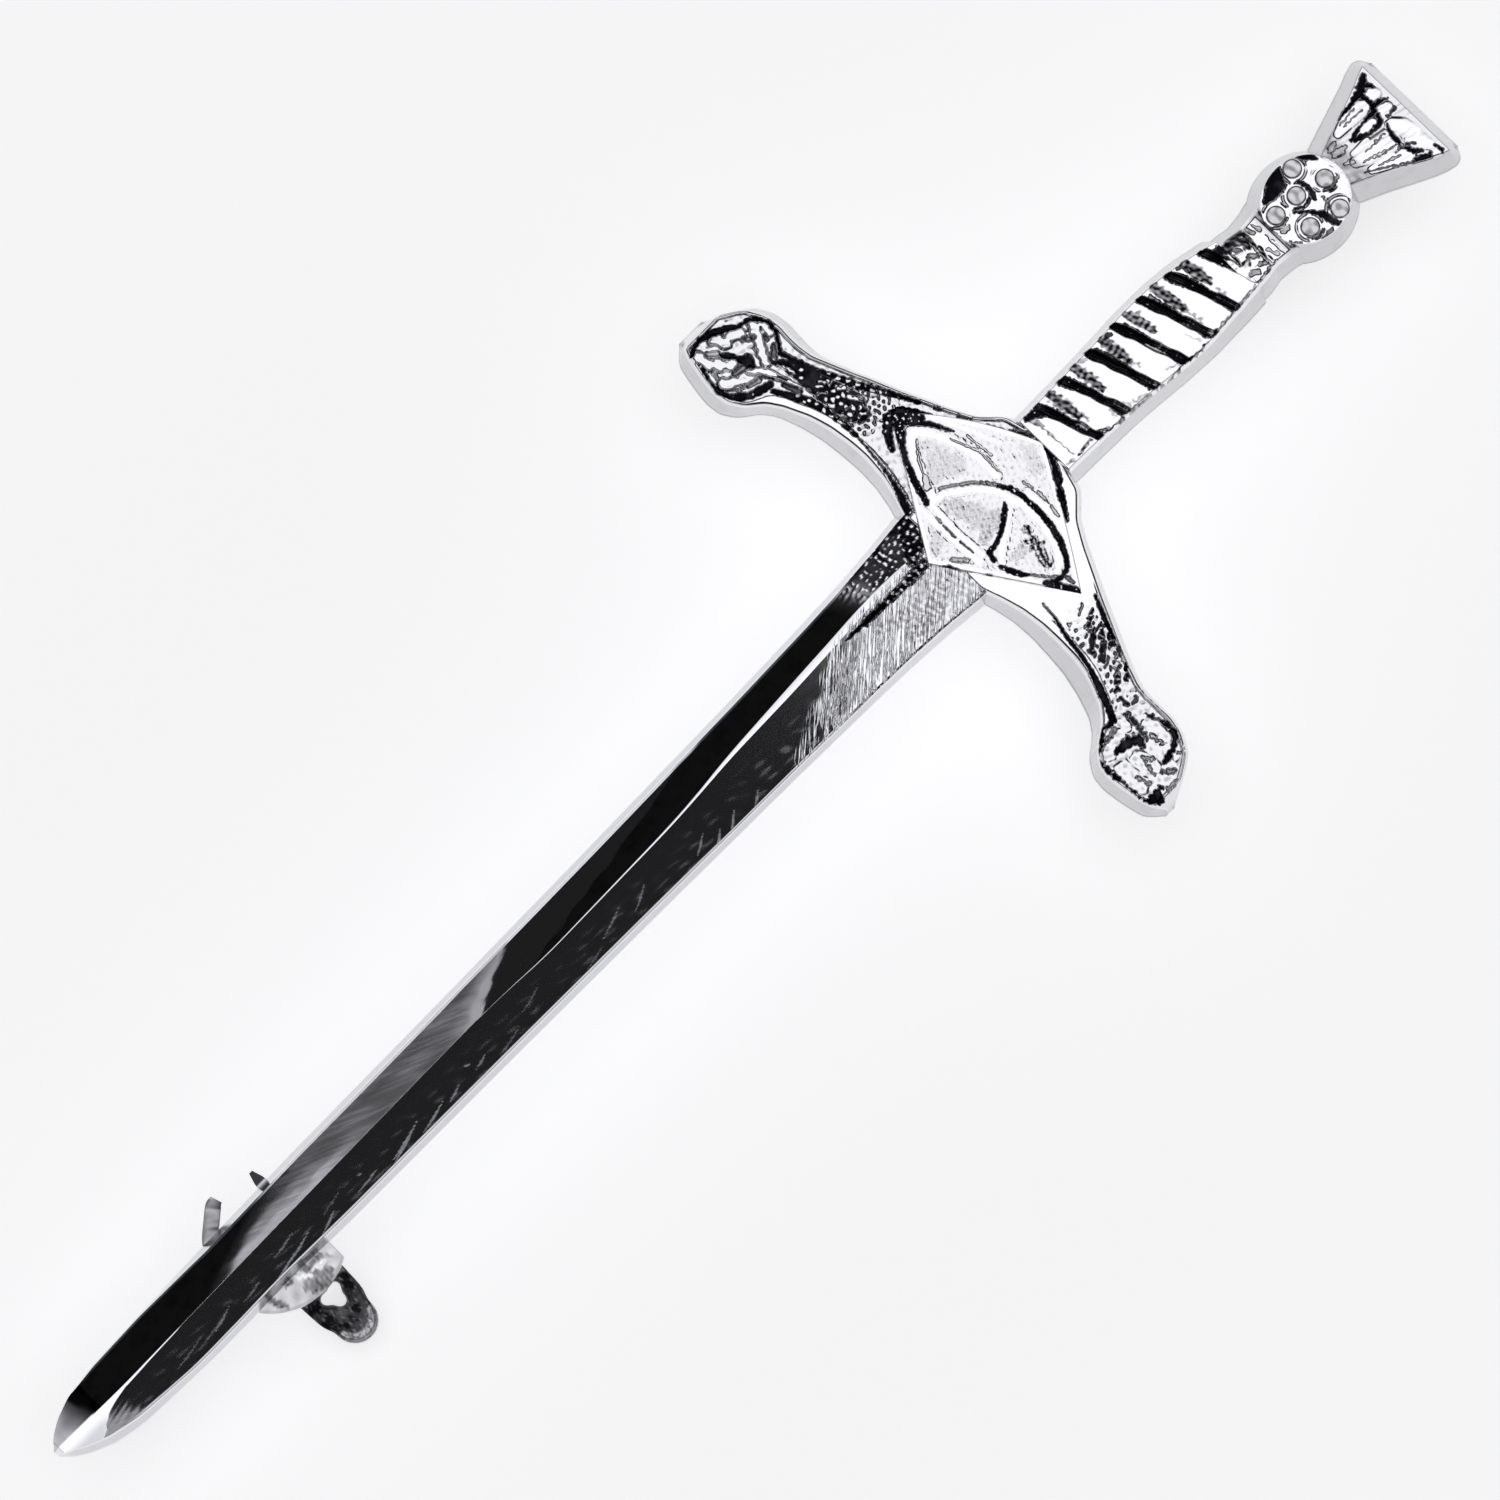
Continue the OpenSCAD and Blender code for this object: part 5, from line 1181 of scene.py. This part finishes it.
crownCuts = [
    (1, (95.7, 1.12, 0.03), (96.5, 1.27, 0.06), (97.2, 1.3, 0.1), (97.7, 1.38, 0.15), (98.2, 1.5, 0.24),
     (98.75, 1.9, 0.15)),
    (1, (97.95, 1.25, 0.15), (98.0, 0.8, 0.1), (97.9, 0.4, 0.12), (98.35, 0.4, 0.1), (98.75, 0.2, 0.06)),
    (1, (98.55, 1.4, 0.13), (98.75, 1.1, 0.06)),
    (1, (95.85, -0.05, 0.08), (96.2, 0.08, 0.09), (96.7, 0.16, 0.07), (97.3, 0.2, 0.05), (97.8, 0.2, 0.14)),
    (1, (96.0, -0.12, 0.12), (96.35, -0.28, 0.13), (96.8, -0.48, 0.08), (97.4, -0.48, 0.12),
     (97.65, -0.4, 0.12), (97.8, -0.05, 0.1)), (0.9, (98.1, -0.52, 0.07), (98.7, -0.45, 0.06)),
    (1, (97.75, -0.8, 0.06), (97.6, -1.1, 0.08), (97.55, -1.5, 0.13), (97.5, -1.9, 0.1)),
    (1, (97.6, -2.4, 0.12), (97.75, -2.8, 0.1), (98.05, -3.0, 0.08)),
    (0.9, (97.7, -2.2, 0.06), (98.1, -2.5, 0.06)),
    (0.8, (95.1, -1.72, 0.035), (96.0, -2.25, 0.045), (97.0, -2.95, 0.045), (97.5, -3.25, 0.07)),
    (1, (97.55, -3.15, 0.1), (97.8, -3.35, 0.17), (98.15, -3.55, 0.12), (98.3, -3.4, 0.06)),
    (1, (98.2, -3.75, 0.05), (98.35, -4.0, 0.06), (98.7, -4.02, 0.08), (98.83, -3.7, 0.07),
     (98.78, -3.35, 0.06)), (0.5, (96.0, -1.0, 0.03), (97.3, -1.02, 0.03)),
    (0.55, (96.2, -1.65, 0.03), (97.3, -1.85, 0.04)), (0.45, (96.1, 0.75, 0.03), (97.4, 0.7, 0.03)),
    (0.4, (96.0, 0.95, 0.03), (97.2, 1.05, 0.03)), (0.45, (95.9, -2.0, 0.03), (97.1, -2.4, 0.04)),
    (0.5, (94.7, 0.05, 0.18), (95.1, -0.05, 0.2), (95.4, 0.0, 0.1)),
    (0.35, (94.7, 0.4, 0.15), (95.1, 0.5, 0.12)), (0.3, (94.8, -0.7, 0.12), (95.1, -0.9, 0.1)),
    (0.25, (95.5, -1.3, 0.04), (96.9, -1.75, 0.05)), (0.4, (97.6, -2.05, 0.04), (97.0, -2.15, 0.04))]


def crownRings():
    # height = the crown's flat face, less the clefts, with the leaves a little raised; walls lean all round
    c = crown
    x = np.linspace(c["from"], swordLen - 0.01, c["rows"])[:, None]
    half = easedLine(x, c["stops"], c["half"], 0.1)
    middle = np.interp(x, c["middleStops"], c["middle"])
    inner = half - np.minimum(np.interp(x, c["leanStops"], c["lean"]), 0.45 * half)
    y = middle + inner * np.linspace(1, -1, c["acrossTop"])[None]
    toEdge = inner - np.abs(y - middle)
    inland = ease(toEdge, 0, 0.1) * ease(swordLen - x, c["endLean"], c["endLean"] + 0.12)
    raised = ease(toEdge, 0, 0.1) * ease(swordLen - x, c["endLean"] - 0.05, c["endLean"] + 0.9)
    cut = nearLines(*ragged(x, y, 0.05, 0.26, 71), crownCuts)
    leaves = nearLines(x, y, crownLeaves)
    pillow = nearLines(x, y, widened(crownLeaves, 1.6))
    veins = ripples(0.4 * x + 0.5 * y, 2.4 * y + 0.6 * x, 0.9, 73, 5)
    leafed = raised * (c["leafHeight"] * pillow + c["veinHeight"] * veins * leaves)
    top = c["height"] + leafed - inland * c["cutDepth"] * cut
    endRise = np.clip((swordLen - x) / c["endLean"], 0, 1)
    top = np.maximum(top * endRise, 0.02)
    # painted shade: grey where the crown meets the bulb, between the leaves and on their veins, dark in the
    # clefts, and the walls' painted shade on the end's slope
    neck = ease(95.6 - x, 0, 0.6) * (0.38 + 0.15 * ripples(x, y, 0.5, 74))
    between = neck + 0.2 * ease(veins, 0.3, 1) + 0.15 * (1 - leaves)
    dark = np.maximum(cut * ease(toEdge, -0.05, 0.05), between)
    dark = np.maximum(dark, walls["shade"] * (endRise < 0.99))
    return walled(x, (middle + half, middle - half), y, top, {"grimeAndShade": dark}, rim=walls["noRim"])


# The catch behind the blade: a round plate, a post and an open shell, and in it a slotted barrel with
# a lever

catch = {
    "plateHalf": 3.9, "plateThick": 0.8, "plateEdge": 0.14, "sunk": 0.1,
    "trimAt": 1.98, "trimFoot": 1.5,      # how far the plate reaches towards the hilt, and beyond the blade
    "strap": ((-2.75, 1.5, 0.42), (-2.3, 2.2, 0.42), (-0.9, 3.35, 0.42), (-0.55, 3.45, 0.3)),
    "ear": ((1.68, 1.4, 0.32), (1.68, 2.5, 0.32), (1.68, 3.2, 0.1)), "strapThick": 0.5,
    "barrelLen": 4.0, "wall": 0.6, "shellWall": 0.5, "play": 0.05, "stemPlay": 0.08, "lipPlay": 0.06,
    "shellFrom": -75.0, "postFlare": 0.45, "flangeThick": 0.4,
    "shade": 0.3,
}
lever = {
    "at": 0.02, "from": 0.95, "reach": 7.0, "wide": 3.12, "thick": 0.7, "edge": 0.12,
    "stops": (0, 0.48, 0.66, 0.78), "width": (1.0, 1.0, 0.96, 0.86), "endHalf": 1.22,
    "holeAt": 4.1, "holeAside": 0.12, "holeHalf": 0.6, "holeCorners": 0.22, "holeTurn": 80,
    "rim": 0.1, "sunk": 0.06, "grainHeight": 0.02, "brightEnd": 0.62, "darkFrom": 3.3,
}
# Dark patches of the plate and the strap, and painted glints of the plate: strength, then points (x from
# the tip, y, half width)
plateDarkPatches = [
    (0.95, (13.3, -2.3, 0.12), (13.5, -2.8, 0.24), (13.7, -3.1, 0.16)),
    (0.75, (15.2, -3.1, 0.35), (16.2, -3.2, 0.55)),
    (0.85, (15.3, -3.5, 0.28), (16.0, -3.6, 0.38), (16.6, -3.4, 0.24)),
    (0.9, (15.7, -2.4, 0.18), (16.8, -2.45, 0.16)), (0.9, (14.3, -2.35, 0.07), (16.6, -2.3, 0.07)),
    (0.6, (16.9, -2.6, 0.16), (17.1, -2.9, 0.1)), (0.4, (14.9, -2.8, 0.12), (15.1, -3.3, 0.12))]
plateGlints = [
    (1, (15.1, -2.45, 0.09), (15.7, -2.85, 0.1)), (1, (16.3, -2.85, 0.14), (16.7, -2.8, 0.12)),
    (0.8, (15.9, -2.7, 0.06), (16.2, -2.65, 0.06))]
strapDarkPatches = [
    (0.95, (14.6, 3.05, 0.2), (15.1, 3.3, 0.3)), (0.9, (13.9, 2.3, 0.07), (14.6, 2.9, 0.07))]
axis = -(stem["clothGap"] + stem["radius"])
barrelIn = stem["radius"] + catch["stemPlay"]
barrelOut = barrelIn + catch["wall"]
shellIn = barrelOut + catch["play"]
shellOut = shellIn + catch["shellWall"]
lipAt = barrelIn + catch["lipPlay"]
lipDrop = math.sqrt(shellOut ** 2 - lipAt ** 2)


def solderPlate(half, centre, trimmed=False):
    # a round plate, its profile turned about an upright line: flat, a bevelled rim, flat; trimming keeps
    # its outline from reaching past two straight lines
    c = catch
    low, high = -c["plateThick"], c["sunk"]
    levels = np.array([low] * 4 + [low + c["plateEdge"], high - 1.3 * c["plateEdge"]] + [high] * 26)
    outs = np.concatenate([half * np.linspace(0.02, 0.85, 3), [half - c["plateEdge"], half, half],
                           np.linspace(half - c["plateEdge"], 0.02 * half, 26)])
    rings = turnedRings(levels, outs, "z", (0, 0, 0), 360)
    if trimmed:
        away = np.hypot(rings[..., 0], rings[..., 1])
        toHilt, beyond = (np.maximum(rings[..., i] / away, 1e-6) for i in (0, 1))
        kept = np.minimum(1, np.minimum(c["trimAt"] / toHilt, c["trimFoot"] / beyond) / half)
        rings[..., :2] *= kept[..., None]
    return rings + np.array(centre)


def barRings(path, thick, corner):
    # a flat bar along a path of (x, y, half width): a box section carried from end to end
    path = np.array(path)
    share = np.linspace(0, len(path) - 1, 30)
    x, y, half = (easedLine(share, np.arange(len(path)), path[:, i], 0.2) for i in range(3))
    way = np.stack([np.gradient(x), np.gradient(y)], -1)
    way = way / np.hypot(way[:, 0], way[:, 1])[:, None]
    loop = boxLoop(1, thick / 2, corner, 5)
    sideways = half[:, None] * loop[:, 0][None]
    return np.stack([catchAt + x[:, None] + way[:, 1:] * sideways, y[:, None] - way[:, :1] * sideways,
                     loop[:, 1][None] - thick / 2 + 0 * sideways], axis=-1)


def catchSkins():
    # the plate, a post flared at its foot and head, and the shell: a boxed section carried round the barrel
    c = catch
    shell = boxLoop(c["barrelLen"] / 2, c["shellWall"] / 2, 0.12) + [0, (shellIn + shellOut) / 2]
    shellTo = np.pi - math.asin(lipAt / (shellIn + 0.1))
    shellRings = arcRings(shell, math.radians(c["shellFrom"]), shellTo, (catchAt, 0, axis))
    up = np.linspace(axis + shellIn + 0.12, -0.4, 26)[:, None]
    foot = -axis - shellOut
    flare = c["postFlare"] * (ease(up, -1.5, -0.75) ** 2 + ease(-up, foot - 0.35, foot + 0.5) ** 2)
    loop = boxLoop(c["barrelLen"] / 2 - 0.1, shellOut / 2 - 0.08, 0.3, 7)
    size = np.hypot(loop[:, 0], loop[:, 1])[None]
    x = catchAt + loop[:, 0][None] * (1 + 0.6 * flare / size)
    y = loop[:, 1][None] * (1 + flare / size)
    postRings = np.stack([x, y, up + 0 * x], axis=-1)
    plate = solderPlate(c["plateHalf"], (catchAt, 0, 0), True)
    px, py = plate[..., 0], plate[..., 1]
    patched = nearLines(*ragged(px, py, 0.06, 0.4, 83), plateDarkPatches)
    # painted glints clear the plate's dark patches in places
    clear = nearLines(px, py, plateGlints)
    mottled = c["shade"] + 0.12 * ripples(px, py, 0.7, 84)
    dark = np.maximum(mottled, patched * (0.85 + 0.2 * ripples(px, py, 0.3, 85))) * (1 - clear)
    strap, ear = (barRings(c[key], c["strapThick"], 0.1) for key in ("strap", "ear"))
    sx, sy = strap[..., 0], strap[..., 1]
    strapDark = nearLines(*ragged(sx, sy, 0.05, 0.3, 86), strapDarkPatches)
    strapDark = np.maximum(strapDark, 0.5 + 0.1 * ripples(sx, sy, 0.4, 87))
    earDark = 0.9 * ease(ear[..., 1], 2.35, 2.5) + c["shade"]
    even = [(rings, c["shade"] + 0 * rings[..., 0]) for rings in (postRings, shellRings)]
    shaded = [(plate, dark), *even, (strap, strapDark), (ear, earDark)]
    return [(rings, {"grimeAndShade": grimeAndShade}, "closed") for rings, grimeAndShade in shaded]


def rollerSkins():
    # the slotted barrel and its two flanges: boxed sections carried round from one side of the slot to
    # the other
    c = catch
    centre = (catchAt, 0, axis)
    barrel = boxLoop(c["barrelLen"] / 2 + c["flangeThick"], c["wall"] / 2, 0.08)
    barrel = barrel + [0, (barrelIn + barrelOut) / 2]
    skins = [(arcRings(barrel, 0, 0, centre, slot=barrelIn), {}, "closed")]
    flangeOut = lipDrop - 0.1
    flange = boxLoop(c["flangeThick"] / 2, (flangeOut - barrelIn) / 2 - 0.02, 0.12)
    for hand in (-1, 1):
        beside = hand * (c["barrelLen"] / 2 + c["play"] + c["flangeThick"] / 2)
        placedFlange = flange + [beside, (flangeOut + barrelIn) / 2]
        skins.append((arcRings(placedFlange, 0, 0, centre, slot=barrelIn), {}, "closed"))
    return skins


def leverSkins():
    # a ring between the lever's outline and a rounded three-cornered hole, its front sunk inside a rim
    v = lever
    shares = np.linspace(v["from"] / v["reach"], 1 - v["endHalf"] / v["reach"], 46)
    half = easedLine(shares, v["stops"], v["width"], 0.03) * v["wide"] / 2
    half = np.minimum(half, v["wide"] / 2)
    half = half + (v["endHalf"] - half) * ease(shares, 0.7, shares[-1])
    down = -shares * v["reach"]
    around = np.linspace(0, np.pi, 40)[1:-1]
    tipRow = down[-1]
    outer = np.concatenate([
        np.stack([half, down], -1),
        np.stack([v["endHalf"] * np.cos(around), tipRow - v["endHalf"] * np.sin(around)], -1),
        np.stack([-half[::-1], down[::-1]], -1),
        np.stack([np.linspace(-half[0], half[0], 12)[1:-1], np.full(10, down[0])], -1)])
    outer = outer + [v["at"], 0]
    holeCentre = np.array([v["at"] + v["holeAside"], -v["holeAt"]])
    angle = np.arctan2(*(outer - holeCentre).T[::-1])
    holeOut = v["holeHalf"] * (1 + v["holeCorners"] * np.cos(3 * (angle + math.radians(v["holeTurn"]))))
    inner = holeCentre + holeOut[:, None] * np.stack([np.cos(angle), np.sin(angle)], -1)
    rings, fromHole, fromRim = plateRings(outer, inner, v["thick"], v["edge"], 22)
    u, side, w = rings[..., 0], rings[..., 1], rings[..., 2]
    sunk = ease(fromRim, v["rim"], v["rim"] + 0.15) * ease(fromHole, 0.12, 0.3)
    grain = ripples(u, side, 0.36, 81, 11)
    w = w + np.where(w > v["thick"] / 2 - 0.01, (v["grainHeight"] * grain - v["sunk"]) * sunk, 0)
    # painted dark reflection from below the barrel down to a bright band round the end, left free of it
    endBand = np.where(side < tipRow, fromRim, 9.0)
    dark = ease(-side - v["darkFrom"] + 0.25 * grain, -0.1, 0.2)
    dark = dark * ease(endBand, v["brightEnd"] - 0.1, v["brightEnd"])
    dark = 0.12 + 0.88 * dark * (0.88 - 0.3 * ease(grain, 0.3, 1.2)) * ease(fromHole, 0.03, 0.1)
    rings = np.stack([catchAt + u, side, axis + w], axis=-1)
    return [(rings, {"grimeAndShade": dark}, "loop")]


# The hinge behind the guard: a round plate and two ears with a rivet through them and the stem's eye

hinge = {
    "plateHalf": 2.7, "earThick": 0.9, "earEdge": 0.1, "earInner": 0.76, "earPlay": 0.02,
    "rivetHalf": 0.45, "headHalf": 0.8, "headThick": 0.35,
    "eyeHalf": 1.2, "eyeWide": 1.4, "eyeEdge": 0.18, "eyePlay": 0.04,
}


def hingeSkins():
    # each ear is a ring round the rivet: round below, straight sides above, up to the plate
    h = hinge
    angle = np.linspace(0, 2 * np.pi, 120, endpoint=False)
    lift = np.sin(angle)
    out = np.where(lift <= 0, lipDrop, np.minimum(lipDrop / np.maximum(np.abs(np.cos(angle)), 1e-6),
                                                  (-axis - 0.5) / np.maximum(lift, 1e-6)))
    way = np.stack([np.cos(angle), lift], -1)
    hole = way * (h["rivetHalf"] + h["earPlay"])
    rings = plateRings(way * out[:, None], hole, h["earThick"], h["earEdge"])[0]
    skins = [(solderPlate(h["plateHalf"], (hingeAt, 0, 0)), {}, "closed")]
    for hand in (-1, 1):
        middle = hand * (h["earInner"] + h["earThick"] / 2)
        ear = np.stack([hingeAt + rings[..., 0], middle + rings[..., 2], axis + rings[..., 1]], -1)
        skins.append((ear, {}, "loop"))
    return skins


def rivetSkins():
    # a profile turned about a line across the sword: a domed head, the shank and a second head
    h = hinge
    headFrom = h["earInner"] + h["earThick"] + h["earPlay"]
    bend = np.linspace(0.08, np.pi / 2, 9)
    along = np.concatenate([headFrom + h["headThick"] * np.cos(bend), [headFrom, headFrom]])
    out = np.concatenate([h["headHalf"] * np.sin(bend), [h["headHalf"] - 0.05, h["rivetHalf"]]])
    along, out = np.concatenate([along, -along[::-1]]), np.concatenate([out, out[::-1]])
    return [(turnedRings(along, out, "y", (hingeAt, 0, axis)), {}, "closed")]


def stemSkins():
    # the wire is a profile turned about its own line, and the eye a thick ring round the rivet
    h = hinge
    r = stem["radius"]
    stops = (catchAt - 5, catchAt - 4.6, catchAt - 3, catchAt + 3.4, hingeAt - lipDrop - 0.6, hingeAt - 0.9)
    radii = (0.07, 0.2, 0.85 * r, r, r, 0.92 * r)
    x = np.concatenate([np.linspace(stops[0], stops[3], 90), np.linspace(stops[3], stops[-1], 60)[1:]])
    wire = turnedRings(x, easedLine(x, stops, radii, 0.15), "x", (0, 0, axis), 48)
    angle = np.linspace(0, 2 * np.pi, 64, endpoint=False)
    way = np.stack([np.cos(angle), np.sin(angle)], -1)
    hole = way * (h["rivetHalf"] + h["eyePlay"])
    rings = plateRings(way * h["eyeHalf"], hole, h["eyeWide"], h["eyeEdge"], 6)[0]
    eye = np.stack([hingeAt + rings[..., 0], rings[..., 2], axis + rings[..., 1]], -1)
    return [(wire, {}, "closed"), (eye, {}, "loop")]


def makeCasting():
    # everything that was cast in one: only the blade has crisp edges
    for name, rings, look in (("blade", bladeRings, "polish"), ("guard", guardRings, "relief"),
                              ("grip", gripRings, "relief"), ("collar", collarRings, "relief"),
                              ("thistleCrown", crownRings, "relief")):
        makePiece(name, [(*rings(), "closed")], look, "sword", "sword",
                  12 if name == "blade" else None)
    makePiece("guardPanel", [(*panelRings(), "closed")], "relief", "sword", "sword")
    skins = [(*bulbRings(), "closed")]
    skins += [(*beadRings(centre), "closed") for centre in bulb["beads"]]
    makePiece("thistleBulb", skins, "relief", "sword", "sword")


def makeFittings():
    # what is soldered on behind, and the pieces that move
    makePiece("catchBase", catchSkins(), "backing", "sword", "sword", 30)
    makePiece("hingeBase", hingeSkins(), "backing", "sword", "sword", 40)
    makePiece("catchBarrel", rollerSkins(), "backing", "catch_roller", "lever")
    makePiece("catchLever", leverSkins(), "lever", "catch_roller", "lever")
    makePiece("pinStem", stemSkins(), "wire", "pin_stem", "pin")
    makePiece("hingeRivet", rivetSkins(), "wire", "hinge_rivet", "sword")


makeCamera()
makeStudio()
print("studio made")
makeCasting()
print("casting made")

makeFittings()
print("catch and hinge made")
